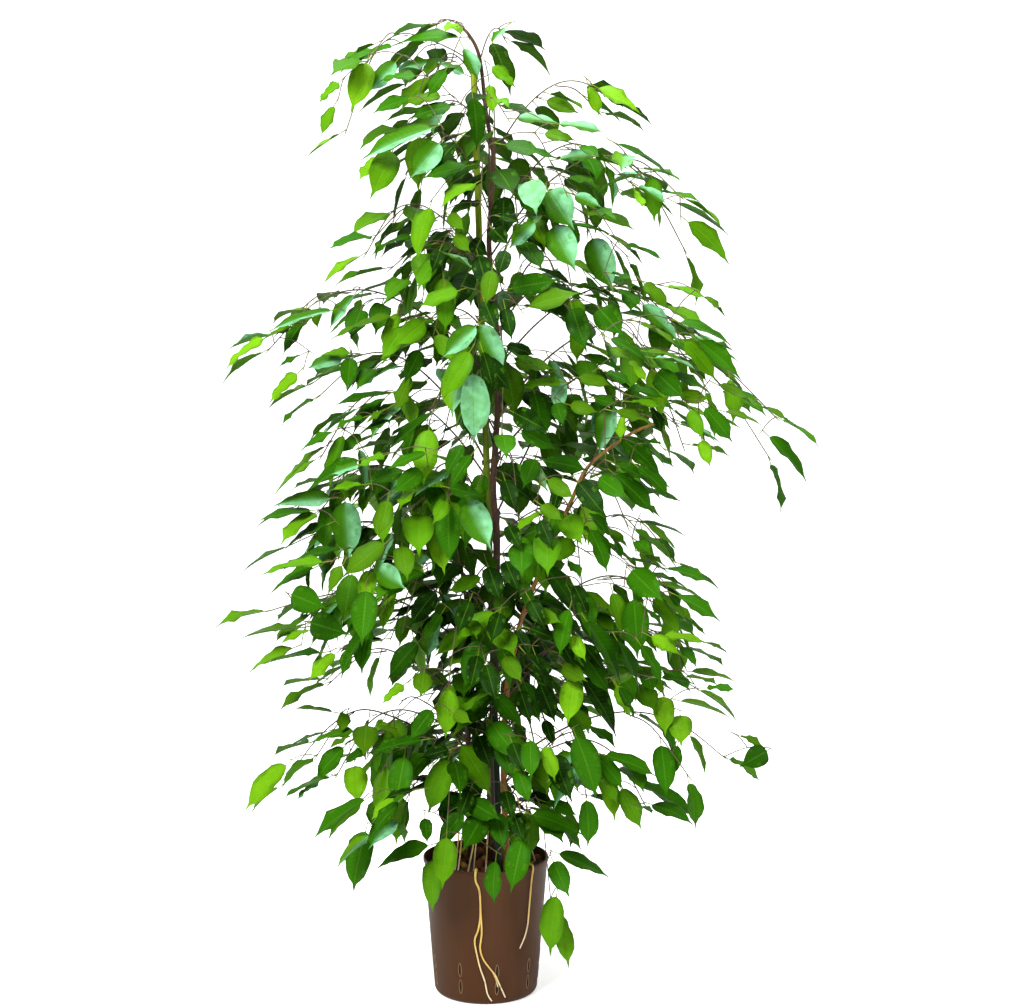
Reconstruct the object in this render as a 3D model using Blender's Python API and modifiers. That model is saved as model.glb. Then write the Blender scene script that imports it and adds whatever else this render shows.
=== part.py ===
"""Potted weeping fig: three stems with leafy arching branches in a slotted culture pot.

Metres, +Z up. The origin is the centre of the pot's flat base and -Y is the front.
The pot, its fill of clay granules, the cane, the stems and the hanging roots are each
one solid, and every branch is one solid with its side shoots and leaves fused on.
"""

import math
from collections import namedtuple
from random import Random

import bmesh
import bpy
from mathutils import Matrix, Vector
from mathutils.bvhtree import BVHTree

UP = Vector((0.0, 0.0, 1.0))
GAP = 0.0004
# How near two points merge, the angle in degrees under which a point is dropped, and how
# faces are cut into triangles, the strongest clean-up first.
CLEAN_UPS = (
    (1e-5, 0.4, "BEAUTY"), (1e-5, 0.4, "EAR_CLIP"), (1e-6, 0.2, "BEAUTY"), (1e-6, 0.2, "EAR_CLIP"),
    (1e-7, 0.01, "BEAUTY"), (1e-7, 0.01, "EAR_CLIP"),
)

# Pot: a thin tapered shell with a small lip and two rows of upright slots.
POT_HEIGHT = 0.200
RIM_RADIUS = 0.0905
BASE_RADIUS = 0.0738
BASE_ROUNDING = 0.0035
WALL = 0.0018
FLOOR = 0.0025
LIP_HEIGHT = 0.006
LIP_DEPTH = 0.0006
POT_SIDES = 32
SLOT_COUNT = 9
SLOT_START = -67.5
SLOT_WIDTH = 0.0034
SLOT_HEIGHT = 0.017
SLOT_ROWS = (0.026, 0.051)

# Fill: clay granules drawn larger than life, seated in the top of a solid plug.
FILL_LEVEL = 0.186
GRANULE_RADIUS = 0.01375
GRANULE_SIZES = (0.72, 1.0)
GRANULE_SHIFT = 0.002
GRANULE_RINGS = ((0.0, 1), (0.026, 6), (0.052, 11), (0.0738, 16))

# Cane: a straight stake that leans back towards the top of the plant.
CANE_FOOT = Vector((0.0250, -0.0570, 0.060))
CANE_TOP = Vector((-0.0155, -0.0140, 1.335))
CANE_RADIUS = 0.0045

# Stems, roots and the branches' wood. A pair is the range a seeded draw is made from.
STEM_STEP = 0.075
ROOT_STEP = 0.026
TIP_RADIUS = 0.0015
AXIS_CREST = (0.58, 0.70)
AXIS_SWAY = 0.06
AXIS_ZIGZAG = 0.012
AXIS_TURNS = (0, 5, -5, 10, -10, 15, -15, 21, -21)
LONG_AXIS = 0.20
SHOOT_STEPS = 2
SHOOT_REACH = 0.19
SHOOT_START = (0.50, 0.64)
SHOOT_SPREAD = (34, 58)
SHOOT_LENGTH = (0.30, 0.42)

# Leaves. Angles are in degrees, and a blade's width is a share of its length.
LAST_LEAF = 0.052
FEWEST_LEAVES = 1.2
LEAVES_PER_METRE = 4.9
LEAF_START = 0.24
LEAF_SPAN = 0.70
LEAF_SPREAD = (28, 62)
LEAF_PITCH = (-36, -8)
LEAF_ROLL = (-15, 15)
HANGING_SHARE = (0.10, 0.60)
HANGING_PITCH = (-80, -58)
FRONT_DEPTH = 0.12
PETIOLE = 0.014
PETIOLE_WIDTH = 0.0016
BLADE_LENGTH = (0.060, 0.082)
BLADE_WIDTH = (0.44, 0.52)
BLADE_THICKNESS = 0.0009
BLADE_PLAN = ((0.66, 0.82), (0.26, 1.00))
BLADE_BEND = (10, 34)
BLADE_FOLD = (6, 16)
BLADE_WAVE = (0.0012, 0.0030)
WAVE_TURN = 9.0
WAVE_PHASE = 4000.0
BEND_START = 0.5

# Growth: how clear of each other the pieces stay, and how often a draw is made again.
CLEARANCE = 0.0009
LOWEST_LEAF = 0.02
TRIES = 14
NUDGES = 6
NUDGE = Vector((0.00007, -0.00005, 0.00009))
CELL = 0.09

Stem = namedtuple("Stem", "foot_radius top_radius route")
Spray = namedtuple("Spray", "stem height azimuth reach rise droop")
Leaf = namedtuple("Leaf", "root forward normal length width bend fold wave")

# Each route runs upwards through points on the stem's centre line.
STEMS = {
    "main": Stem(0.0070, 0.0020, (
        (0.008, 0.010, 0.110), (0.008, 0.010, 0.200), (0.008, 0.006, 0.330),
        (0.012, 0.008, 0.430), (0.016, 0.010, 0.670), (0.011, 0.008, 0.730),
        (0.018, 0.008, 0.860), (0.016, 0.008, 0.960), (0.006, 0.006, 1.070),
        (0.012, 0.006, 1.200), (0.002, 0.006, 1.260), (-0.007, 0.006, 1.335),
        (-0.022, 0.004, 1.367), (-0.040, 0.001, 1.384),
    )),
    "right": Stem(0.0055, 0.0018, (
        (0.030, -0.022, 0.120), (0.030, -0.022, 0.200), (0.026, -0.020, 0.330),
        (0.030, -0.024, 0.440), (0.054, -0.034, 0.560), (0.084, -0.040, 0.636),
        (0.122, -0.046, 0.724), (0.146, -0.050, 0.772), (0.201, -0.052, 0.815),
        (0.240, -0.054, 0.832),
    )),
    "left": Stem(0.0050, 0.0018, (
        (-0.022, 0.016, 0.120), (-0.022, 0.016, 0.200), (-0.026, 0.028, 0.350),
        (-0.020, 0.042, 0.480), (-0.034, 0.060, 0.600), (-0.052, 0.084, 0.720),
    )),
}

# One row a branch: its stem, the height it leaves at, its bearing in degrees (0 is +X,
# 90 is the back), how far out its last leaf reaches, how high it arches and how far its
# end drops again.
SPRAYS = (
    Spray("main", 1.322, 186, 0.240, 0.046, 0.135),
    Spray("main", 1.332, 12, 0.070, 0.045, 0.015),
    Spray("main", 1.382, 172, 0.070, 0.006, 0.030),
    Spray("main", 1.270, 208, 0.130, 0.070, 0.030),
    Spray("main", 1.240, -80, 0.110, 0.050, 0.110),
    Spray("main", 1.205, 158, 0.165, 0.075, 0.050),
    Spray("main", 1.200, 5, 0.215, 0.105, 0.025),
    Spray("main", 1.160, 92, 0.180, 0.090, 0.080),
    Spray("main", 1.120, 174, 0.170, 0.115, 0.055),
    Spray("main", 1.095, 28, 0.260, 0.125, 0.065),
    Spray("main", 1.060, -5, 0.325, 0.140, 0.130),
    Spray("main", 1.075, -60, 0.150, 0.100, 0.090),
    Spray("main", 1.025, -46, 0.210, 0.110, 0.120),
    Spray("main", 1.015, 187, 0.230, 0.120, 0.070),
    Spray("main", 0.985, -140, 0.220, 0.100, 0.090),
    Spray("main", 0.973, 122, 0.260, 0.120, 0.100),
    Spray("main", 0.940, 58, 0.260, 0.120, 0.100),
    Spray("main", 0.905, 4, 0.320, 0.115, 0.075),
    Spray("main", 0.880, 180, 0.375, 0.135, 0.085),
    Spray("main", 0.858, -88, 0.240, 0.110, 0.140),
    Spray("main", 0.835, -15, 0.350, 0.140, 0.090),
    Spray("main", 0.800, 98, 0.300, 0.130, 0.110),
    Spray("main", 0.777, 0, 0.442, 0.155, 0.155),
    Spray("main", 0.750, 171, 0.315, 0.175, 0.045),
    Spray("main", 0.735, 196, 0.300, 0.140, 0.090),
    Spray("main", 0.692, 50, 0.320, 0.140, 0.120),
    Spray("main", 0.660, -110, 0.260, 0.120, 0.130),
    Spray("main", 0.635, 182, 0.330, 0.130, 0.055),
    Spray("right", 0.805, -8, 0.140, 0.065, 0.070),
    Spray("right", 0.690, -22, 0.150, 0.060, 0.060),
    Spray("right", 0.625, -72, 0.220, 0.110, 0.110),
    Spray("right", 0.600, 8, 0.250, 0.100, 0.070),
    Spray("right", 0.510, -8, 0.280, 0.105, 0.060),
    Spray("left", 0.620, 118, 0.280, 0.120, 0.100),
    Spray("main", 0.555, 177, 0.345, 0.130, 0.035),
    Spray("main", 0.485, 204, 0.300, 0.125, 0.060),
    Spray("main", 0.500, -98, 0.250, 0.100, 0.110),
    Spray("main", 0.450, 183, 0.370, 0.135, 0.025),
    Spray("right", 0.435, 13, 0.310, 0.110, 0.045),
    Spray("main", 0.400, 62, 0.290, 0.110, 0.100),
    Spray("right", 0.390, -3, 0.320, 0.100, 0.035),
    Spray("left", 0.400, 160, 0.280, 0.090, 0.055),
    Spray("main", 0.335, 205, 0.290, 0.090, 0.085),
    Spray("left", 0.310, 182, 0.320, 0.100, 0.110),
    Spray("right", 0.335, -4, 0.365, 0.085, 0.065),
    Spray("right", 0.310, -26, 0.270, 0.075, 0.080),
    Spray("main", 0.320, -114, 0.200, 0.060, 0.110),
    Spray("left", 0.285, 120, 0.230, 0.080, 0.080),
    Spray("main", 0.270, 212, 0.245, 0.060, 0.070),
    Spray("right", 0.255, -48, 0.150, 0.045, 0.150),
)

# Roots that have grown over the rim and hang down the pot's wall. Each has its radius at
# the top and at the tip, and (bearing from the front towards +X in degrees, height) pairs.
HANGING_ROOTS = {
    "hanging_root_front": (0.0018, 0.0010, (
        (-8.2, 0.187), (-5.4, 0.176), (-4.4, 0.161), (-4.5, 0.135), (-6.6, 0.115), (-10.1, 0.098),
        (-7.6, 0.074), (-4.9, 0.057), (-0.4, 0.0375), (2.4, 0.0185), (6.8, 0.008),
    )),
    "hanging_root_right": (0.0016, 0.0009, (
        (46.5, 0.183), (45.7, 0.154), (44.7, 0.115), (41.7, 0.098), (36.3, 0.082),
    )),
}
# The front root's second strand, which leaves it a third of the way down.
ROOT_FORK = (
    (-4.4, 0.147), (-3.2, 0.112), (-4.9, 0.088), (-1.8, 0.071), (4.5, 0.0575), (10.3, 0.0465),
    (15.2, 0.031), (21.5, 0.012),
)
ROOT_STANDOFF = 0.0027
# Thin aerial roots from the stems down to the fill: a stem, a height, and the foot.
AERIAL_ROOTS = (
    ("left", 0.300, (-0.060, -0.020)), ("left", 0.275, (-0.044, -0.034)),
    ("main", 0.310, (-0.018, -0.044)), ("right", 0.300, (0.060, 0.004)),
    ("right", 0.280, (0.052, -0.026)),
)
AERIAL_RADIUS = 0.0010

COLOURS = {
    "pot": ((0.095, 0.045, 0.030), 0.45),
    "granule": ((0.105, 0.040, 0.020), 0.90),
    "cane": ((0.180, 0.220, 0.030), 0.50),
    "bark": ((0.170, 0.080, 0.035), 0.75),
    "root": ((0.620, 0.450, 0.140), 0.60),
    "leaf": ((0.035, 0.190, 0.012), 0.35),
}


def clear_scene():
    """Empties the scene."""
    for obj in list(bpy.data.objects):
        bpy.data.objects.remove(obj)


def new_collection(name):
    """Makes a collection in the scene."""
    made = bpy.data.collections.new(name)
    bpy.context.scene.collection.children.link(made)
    return made


def material(name):
    """Makes or finds the named plain material."""
    found = bpy.data.materials.get(name)
    if found:
        return found
    made = bpy.data.materials.new(name)
    made.use_nodes = True
    shader = made.node_tree.nodes["Principled BSDF"]
    colour, roughness = COLOURS[name]
    shader.inputs["Base Color"].default_value = (*colour, 1.0)
    shader.inputs["Roughness"].default_value = roughness
    shader.inputs["Metallic"].default_value = 0.0
    return made


def link(obj, collection, material_name=None):
    """Puts an object in a collection and gives it a material."""
    collection.objects.link(obj)
    if material_name:
        obj.data.materials.append(material(material_name))
    return obj


def hide(obj):
    """Marks an object as a cutter that isn't part of the model."""
    obj.hide_render = True
    obj.display_type = "WIRE"
    return obj


def smooth_route(points, step):
    """Points every step or so along a smooth curve through the given points."""
    knots = [Vector(p) for p in points]
    knots = [2 * knots[0] - knots[1], *knots, 2 * knots[-1] - knots[-2]]
    route = [knots[1]]
    for a, b, c, d in zip(knots, knots[1:], knots[2:], knots[3:]):
        count = max(1, round((c - b).length / step))
        for i in range(1, count + 1):
            t = i / count
            route.append(0.5 * (2 * b + (c - a) * t + (2 * a - 5 * b + 4 * c - d) * t * t
                                + (3 * b - 3 * c + d - a) * t ** 3))
    return route


def radii_along(route, foot, top):
    """A radius at each point of a route, tapering evenly from foot to top."""
    last = len(route) - 1
    return [foot + (top - foot) * i / last for i in range(last + 1)]


def stem_at(name, height):
    """The centre and radius of a stem at a height."""
    stem = STEMS[name]
    route = smooth_route(stem.route, STEM_STEP)
    radii = radii_along(route, stem.foot_radius, stem.top_radius)
    for i in range(len(route) - 1):
        low, high = route[i], route[i + 1]
        if low.z <= height <= high.z:
            t = (height - low.z) / (high.z - low.z)
            return low.lerp(high, t), radii[i] + (radii[i + 1] - radii[i]) * t
    return route[-1], radii[-1]


def tube(name, route, radii, sides):
    """A closed mesh tube along a route: a bevelled curve with its caps welded."""
    curve = bpy.data.curves.new(name, "CURVE")
    curve.dimensions = "3D"
    curve.bevel_depth = 1.0
    curve.bevel_resolution = (sides - 4) // 2
    curve.use_fill_caps = True
    spline = curve.splines.new("POLY")
    spline.points.add(len(route) - 1)
    for point, place, radius in zip(spline.points, route, radii):
        point.co = (*place, 1.0)
        point.radius = radius
    guide = bpy.data.objects.new(name, curve)
    bpy.context.scene.collection.objects.link(guide)
    graph = bpy.context.evaluated_depsgraph_get()
    mesh = bpy.data.meshes.new_from_object(guide.evaluated_get(graph))
    bpy.data.objects.remove(guide)
    bpy.data.curves.remove(curve)
    form = bmesh.new()
    form.from_mesh(mesh)
    bmesh.ops.remove_doubles(form, verts=form.verts, dist=1e-6)
    form.to_mesh(mesh)
    form.free()
    return bpy.data.objects.new(name, mesh)


def turned(name, profile, sides, group, finish):
    """A solid of revolution. Its (radius, height) profile runs down the outer side."""
    mesh = bpy.data.meshes.new(name)
    form = bmesh.new()
    ring = [form.verts.new((radius, 0.0, height)) for radius, height in profile]
    for pair in zip(ring, ring[1:]):
        form.edges.new(pair)
    form.to_mesh(mesh)
    form.free()
    solid = link(bpy.data.objects.new(name, mesh), group, finish)
    screw = solid.modifiers.new("turn", "SCREW")
    screw.steps = screw.render_steps = sides
    screw.use_merge_vertices = True
    screw.merge_threshold = 1e-5
    bake(solid)
    return solid


def bake(obj):
    """Keeps what an object's modifiers make as its mesh."""
    graph = bpy.context.evaluated_depsgraph_get()
    mesh = bpy.data.meshes.new_from_object(obj.evaluated_get(graph))
    obj.modifiers.clear()
    obj.data = mesh


def join(obj, operand, operation, solver="EXACT"):
    """Unites obj with an object or a collection, or cuts it by one."""
    step = obj.modifiers.new("join", "BOOLEAN")
    step.operation = operation
    step.solver = solver
    if isinstance(operand, bpy.types.Collection):
        step.operand_type = "COLLECTION"
        step.collection = operand
    else:
        step.object = operand
    bake(obj)


def is_closed(form):
    """Whether a form is one body, and each of its edges has two faces and is there once."""
    pairs = {frozenset(edge.verts) for edge in form.edges}
    if len(pairs) < len(form.edges) or any(len(edge.link_faces) != 2 for edge in form.edges):
        return False
    form.faces.ensure_lookup_table()
    reached, border = {form.faces[0]}, [form.faces[0]]
    while border:
        beside = {face for edge in border.pop().edges for face in edge.link_faces} - reached
        reached |= beside
        border += beside
    return len(reached) == len(form.faces)


def drop_flat_points(obj):
    """Merges points that all but touch and takes out those in the middle of flat faces.

    Returns whether that, or else a weaker clean-up, left the object one closed body.
    """
    for same_point, flat_angle, method in CLEAN_UPS:
        form = bmesh.new()
        form.from_mesh(obj.data)
        bmesh.ops.remove_doubles(form, verts=form.verts, dist=same_point)
        bmesh.ops.dissolve_limit(
            form, angle_limit=math.radians(flat_angle), verts=form.verts, edges=form.edges)
        bmesh.ops.triangulate(form, faces=form.faces, ngon_method=method)
        closed = is_closed(form)
        if closed:
            form.to_mesh(obj.data)
        form.free()
        if closed:
            return True
    return False


def remove_with_objects(collection):
    """Deletes a collection and what it holds."""
    for obj in list(collection.objects):
        bpy.data.objects.remove(obj)
    bpy.data.collections.remove(collection)


def inner_radius(height):
    """The pot's inside radius at a height."""
    return BASE_RADIUS + (RIM_RADIUS - LIP_DEPTH - BASE_RADIUS) * height / POT_HEIGHT - WALL


def outer_radius(height):
    """The pot's outside radius below the lip."""
    return inner_radius(height) + WALL


def make_pot(group):
    """The pot: a turned shell with the slots cut through its wall."""
    lip_foot = POT_HEIGHT - LIP_HEIGHT
    corner = [
        (outer_radius(BASE_ROUNDING) - BASE_ROUNDING * (1 - math.cos(turn)),
         BASE_ROUNDING * (1 - math.sin(turn)))
        for turn in (0.0, math.pi / 2)
    ]
    profile = [(0.0, FLOOR), (inner_radius(FLOOR), FLOOR), (inner_radius(POT_HEIGHT), POT_HEIGHT),
               (RIM_RADIUS, POT_HEIGHT), (RIM_RADIUS, lip_foot + LIP_DEPTH),
               (outer_radius(lip_foot), lip_foot), *corner, (0.0, 0.0)]
    pot = turned("pot", profile, POT_SIDES, group, "pot")
    slots = new_collection("slots")
    for row in SLOT_ROWS:
        for i in range(SLOT_COUNT):
            bpy.ops.mesh.primitive_cube_add(size=1.0)
            cutter = bpy.context.object
            bearing = math.radians(SLOT_START - 90 + 360 / SLOT_COUNT * i)
            size = Matrix.Diagonal((8 * WALL, SLOT_WIDTH, SLOT_HEIGHT, 1.0))
            place = Matrix.Translation((outer_radius(row), 0.0, row))
            cutter.data.transform(Matrix.Rotation(bearing, 4, "Z") @ place @ size)
            for owner in list(cutter.users_collection):
                owner.objects.unlink(cutter)
            hide(link(cutter, slots))
    join(pot, slots, "DIFFERENCE")
    remove_with_objects(slots)
    return pot


def make_granules(group, cutters):
    """The fill: a plug inside the pot with granules seated in its top, and plain holes
    for what stands in it."""
    foot, shy = FLOOR + GAP, WALL + GAP
    plug = turned("clay_granules", [
        (0.0, FILL_LEVEL), (outer_radius(FILL_LEVEL) - shy, FILL_LEVEL),
        (outer_radius(foot) - shy, foot), (0.0, foot),
    ], POT_SIDES, group, "granule")
    rng = Random("granules")
    grains = new_collection("grains")
    for ring_radius, count in GRANULE_RINGS:
        turn = rng.uniform(0, 2 * math.pi)
        for i in range(count):
            size = GRANULE_RADIUS * rng.uniform(*GRANULE_SIZES)
            bearing = turn + 2 * math.pi * i / count
            reach = min(ring_radius + rng.uniform(-GRANULE_SHIFT, GRANULE_SHIFT),
                        inner_radius(FILL_LEVEL) - 0.91 * size - GAP)
            form = bmesh.new()
            bmesh.ops.create_uvsphere(form, u_segments=5, v_segments=3, radius=size)
            squash = Matrix.Diagonal((1.0, rng.uniform(0.8, 1.0), rng.uniform(0.7, 0.9), 1.0))
            tilt = Matrix.Rotation(rng.uniform(-0.4, 0.4), 4, "X")
            spin = Matrix.Rotation(rng.uniform(0, 6), 4, "Z") @ tilt
            place = Vector((reach * math.cos(bearing), reach * math.sin(bearing), FILL_LEVEL))
            bmesh.ops.transform(form, verts=form.verts,
                                matrix=Matrix.Translation(place) @ spin @ squash)
            mesh = bpy.data.meshes.new("grain")
            form.to_mesh(mesh)
            form.free()
            link(bpy.data.objects.new("grain", mesh), grains)
    join(plug, grains, "UNION", "MANIFOLD")
    remove_with_objects(grains)
    join(plug, cutters, "DIFFERENCE", "MANIFOLD")
    drop_flat_points(plug)
    return plug


def make_cane(group, cutters):
    """The cane, and the wider cutter that leaves room round it."""
    route = [CANE_FOOT, CANE_TOP]
    link(tube("cane", route, [CANE_RADIUS] * 2, 8), group, "cane")
    below = CANE_FOOT - GAP * (CANE_TOP - CANE_FOOT).normalized()
    room = tube("cane_room", [below, CANE_TOP], [CANE_RADIUS + GAP] * 2, 8)
    hide(link(room, cutters))


def aerial_root(stem, height, foot):
    """The route of a thin root that hangs from a stem and ends in the fill."""
    start = stem_at(stem, height)[0]
    end = Vector((*foot, FILL_LEVEL - 0.004))
    knee = start.lerp(end, 0.55)
    knee.z = start.z - 0.012
    return smooth_route([start, knee, end.lerp(knee, 0.5), end], 0.045)


def make_stems(group, cutters):
    """The stems with their aerial roots, and their cutters. Returns the cutter of each."""
    rooms = {}
    for name, stem in STEMS.items():
        route = smooth_route(stem.route, STEM_STEP)
        radii = radii_along(route, stem.foot_radius, stem.top_radius)
        wood = link(tube(name + "_stem", route, radii, 6), group, "bark")
        roots = new_collection(name + "_roots")
        for owner, height, foot in AERIAL_ROOTS:
            if owner == name:
                line = aerial_root(owner, height, foot)
                link(tube("root", line, [AERIAL_RADIUS] * len(line), 4), roots)
                wide = [AERIAL_RADIUS + GAP] * len(line)
                line[-1] = line[-1] - GAP * UP
                hide(link(tube("root_room", line, wide, 4), cutters))
        if roots.objects:
            join(wood, roots, "UNION", "MANIFOLD")
        remove_with_objects(roots)
        route[0] = route[0] - GAP * UP
        room = tube(name + "_room", route, [r + GAP for r in radii], 6)
        rooms[name] = hide(link(room, cutters))
    return rooms


def on_bearing(bearing, radius, height):
    """A point at a bearing from the front, a radius from the axis and a height."""
    turn = math.radians(bearing)
    return Vector((radius * math.sin(turn), -radius * math.cos(turn), height))


def down_wall(pairs):
    """Points that hang just off the pot's wall, from (bearing, height) pairs."""
    return [on_bearing(bearing, outer_radius(height) + ROOT_STANDOFF, height)
            for bearing, height in pairs]


def over_rim(pairs):
    """A root's route out of the fill, over the rim and down the wall."""
    bearing, inside = pairs[0][0], inner_radius(FILL_LEVEL)
    climb = [(inside - 0.018, FILL_LEVEL - 0.008), (inside - 0.009, POT_HEIGHT - 0.005),
             (inside - 0.001, POT_HEIGHT + 0.0030), (RIM_RADIUS + 0.0010, POT_HEIGHT + 0.0036),
             (RIM_RADIUS + 0.0034, POT_HEIGHT - 0.001)]
    return [on_bearing(bearing, radius, height) for radius, height in climb] + down_wall(pairs)


def hanging_route(name):
    """The route and radii of a hanging root."""
    foot, tip, pairs = HANGING_ROOTS[name]
    route = smooth_route(over_rim(pairs), ROOT_STEP)
    return route, radii_along(route, foot, tip)


def fork_route():
    """The route and radii of the front root's second strand."""
    foot, tip, _ = HANGING_ROOTS["hanging_root_front"]
    route = smooth_route(down_wall(ROOT_FORK), ROOT_STEP)
    return route, radii_along(route, 0.5 * (foot + tip), tip)


def make_hanging_roots(group, cutters):
    """The roots that hang over the rim, each with its cutter through the fill."""
    for name in HANGING_ROOTS:
        route, radii = hanging_route(name)
        root = link(tube(name, route, radii, 6), group, "root")
        if name == "hanging_root_front":
            strand = hide(link(tube("strand", *fork_route(), 6), cutters))
            join(root, strand, "UNION")
            bpy.data.objects.remove(strand)
        start = route[:3]
        start[0] = start[0] - 2 * GAP * (route[1] - route[0]).normalized()
        room = tube(name + "_room", start, [r + GAP for r in radii[:3]], 6)
        hide(link(room, cutters))


class Thicket:
    """What has grown so far, as closed shells a clearance fatter than the pieces."""

    def __init__(self):
        self.cells = {}

    @staticmethod
    def cells_of(points):
        """The grid cells that the points' box touches."""
        lows = [math.floor(min(p[k] for p in points) / CELL) for k in range(3)]
        highs = [math.floor(max(p[k] for p in points) / CELL) for k in range(3)]
        return [(i, j, k) for i in range(lows[0], highs[0] + 1)
                for j in range(lows[1], highs[1] + 1) for k in range(lows[2], highs[2] + 1)]

    def clear(self, shell, but=()):
        """Whether a shell touches nothing, apart from the owners named in but."""
        points, faces = shell
        tree = BVHTree.FromPolygons(points, faces)
        seen = set()
        for cell in self.cells_of(points):
            for key, owner, other in self.cells.get(cell, ()):
                if key in seen or owner in but:
                    continue
                seen.add(key)
                if tree.overlap(other):
                    return False
        return True

    def add(self, shell, owner):
        """Adds a shell, which later ones have to clear."""
        points, faces = shell
        tree = BVHTree.FromPolygons(points, faces)
        for cell in self.cells_of(points):
            self.cells.setdefault(cell, []).append((id(tree), owner, tree))


def rod_shell(route, radii, start=0.0):
    """A square tube round a route, a clearance wider than its radii, from start metres in."""
    ahead = route[1] - route[0]
    route = [route[0] + min(start, 0.9 * ahead.length) * ahead.normalized(), *route[1:]]
    points, faces = [], []
    for i in range(len(route)):
        ahead = route[min(i + 1, len(route) - 1)] - route[max(i - 1, 0)]
        side = ahead.cross(UP if abs(ahead.normalized().z) < 0.95 else Vector((1, 0, 0)))
        side.normalize()
        rise = side.cross(ahead).normalized()
        wide = (radii[i] + CLEARANCE) * math.sqrt(2)
        points += [route[i] + wide * v for v in (side, rise, -side, -rise)]
    rings = len(points) // 4
    for i in range(rings - 1):
        a, b = 4 * i, 4 * i + 4
        faces += [(a + j, a + (j + 1) % 4, b + (j + 1) % 4, b + j) for j in range(4)]
    return points, faces + [(0, 1, 2, 3), tuple(4 * rings - 1 - j for j in range(4))]


def leaf_point(leaf, along, across):
    """A point of the blade: along runs 0 to 1 from root to tip, across is in metres.

    The stalk and the first half of the rib are straight, and the tip's half bends down.
    """
    side = leaf.normal.cross(leaf.forward)
    turn = leaf.bend * max(0.0, along - BEND_START) / (1 - BEND_START)
    rest = (along - BEND_START) * leaf.length if turn else 0.0
    ahead = min(along, BEND_START) * leaf.length + rest * math.cos(turn / 2)
    fall = rest * math.sin(turn / 2)
    lift = 0.0
    if abs(across) > PETIOLE_WIDTH:
        lift = abs(across) * math.sin(leaf.fold)
        ripple = math.sin(WAVE_TURN * along + WAVE_PHASE * leaf.wave)
        lift += leaf.wave * math.copysign(1.0, across) * ripple
    level = math.sin(turn) * leaf.forward + math.cos(turn) * leaf.normal
    return (leaf.root + ahead * leaf.forward - fall * leaf.normal
            + across * math.cos(leaf.fold) * side + lift * level)


def leaf_outline(leaf):
    """The eight outline points of a blade with its stalk, from the tip round to it."""
    stalk, half = PETIOLE / leaf.length, leaf.width / 2
    left = [(stalk + along * (1 - stalk), across * half) for along, across in BLADE_PLAN]
    left.append((stalk, PETIOLE_WIDTH / 2))
    plan = [(1.0, 0.0), *left, (0.0, 0.0), *((a, -w) for a, w in reversed(left))]
    return [leaf_point(leaf, along, across) for along, across in plan]


def leaf_shell(leaf, start):
    """A leaf as a closed shell, a clearance thicker on each face, from start metres in."""
    ring = leaf_outline(leaf)
    ring[4] = leaf_point(leaf, start / leaf.length, 0.0)
    flat = [*ring, leaf_point(leaf, BEND_START, 0.0)]
    thick = (BLADE_THICKNESS / 2 + CLEARANCE) * leaf.normal
    points = [p + thick for p in flat] + [p - thick for p in flat]
    count = len(ring)
    faces = []
    for i in range(count):
        j = (i + 1) % count
        a, b = count + 1 + i, count + 1 + j
        faces += [(i, j, count), (b, a, 2 * count + 1), (i, a, b, j)]
    return points, faces


def spray_axis(spray, turn):
    """A branch's route and radii: out and up from its stem, over, and down at the tip."""
    root, stem_radius = stem_at(spray.stem, spray.height)
    rng = Random(f"axis {spray.stem} {spray.height}")
    bearing = math.radians(spray.azimuth + turn)
    out = Vector((math.cos(bearing), math.sin(bearing), 0.0))
    reach = max(spray.reach - LAST_LEAF, 0.5 * spray.reach)
    side, sway = UP.cross(out), rng.uniform(-AXIS_SWAY, AXIS_SWAY) * reach
    crest, route = rng.uniform(*AXIS_CREST), []
    steps = 4 + (spray.reach > LONG_AXIS)
    for i in range(steps + 1):
        u = i / steps
        if u < crest:
            height = spray.rise * (1 - (1 - u / crest) ** 2)
        else:
            height = spray.rise - spray.droop * ((u - crest) / (1 - crest)) ** 1.7
        zigzag = AXIS_ZIGZAG * reach * (-1) ** i * (0 < i < steps)
        route.append(root + reach * u * out + height * UP
                     + (sway * math.sin(math.pi * u) + zigzag) * side)
    foot = min(0.0015 + 0.0055 * spray.reach, 0.8 * stem_radius)
    return route, radii_along(route, max(foot, TIP_RADIUS), TIP_RADIUS)


def point_on(route, u):
    """The point and the direction at a fraction of a route's steps."""
    place = min(max(u, 0.0), 0.9999) * (len(route) - 1)
    i = int(place)
    return route[i].lerp(route[i + 1], place - i), (route[i + 1] - route[i]).normalized()


def shoot_route(axis, u, hand, spread, length):
    """A side shoot: it leaves the axis sideways, and droops towards its tip."""
    root, ahead = point_on(axis, u)
    level = Vector((ahead.x, ahead.y, 0.0)).normalized()
    aim = math.cos(spread) * level + hand * math.sin(spread) * UP.cross(level)
    route = []
    for i in range(SHOOT_STEPS + 1):
        t = i / SHOOT_STEPS
        bow = 0.06 * length * math.sin(math.pi * t) * hand
        route.append(root + length * t * aim + bow * UP.cross(aim)
                     + length * (0.25 * t - 0.70 * t * t) * UP)
    return route


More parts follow.
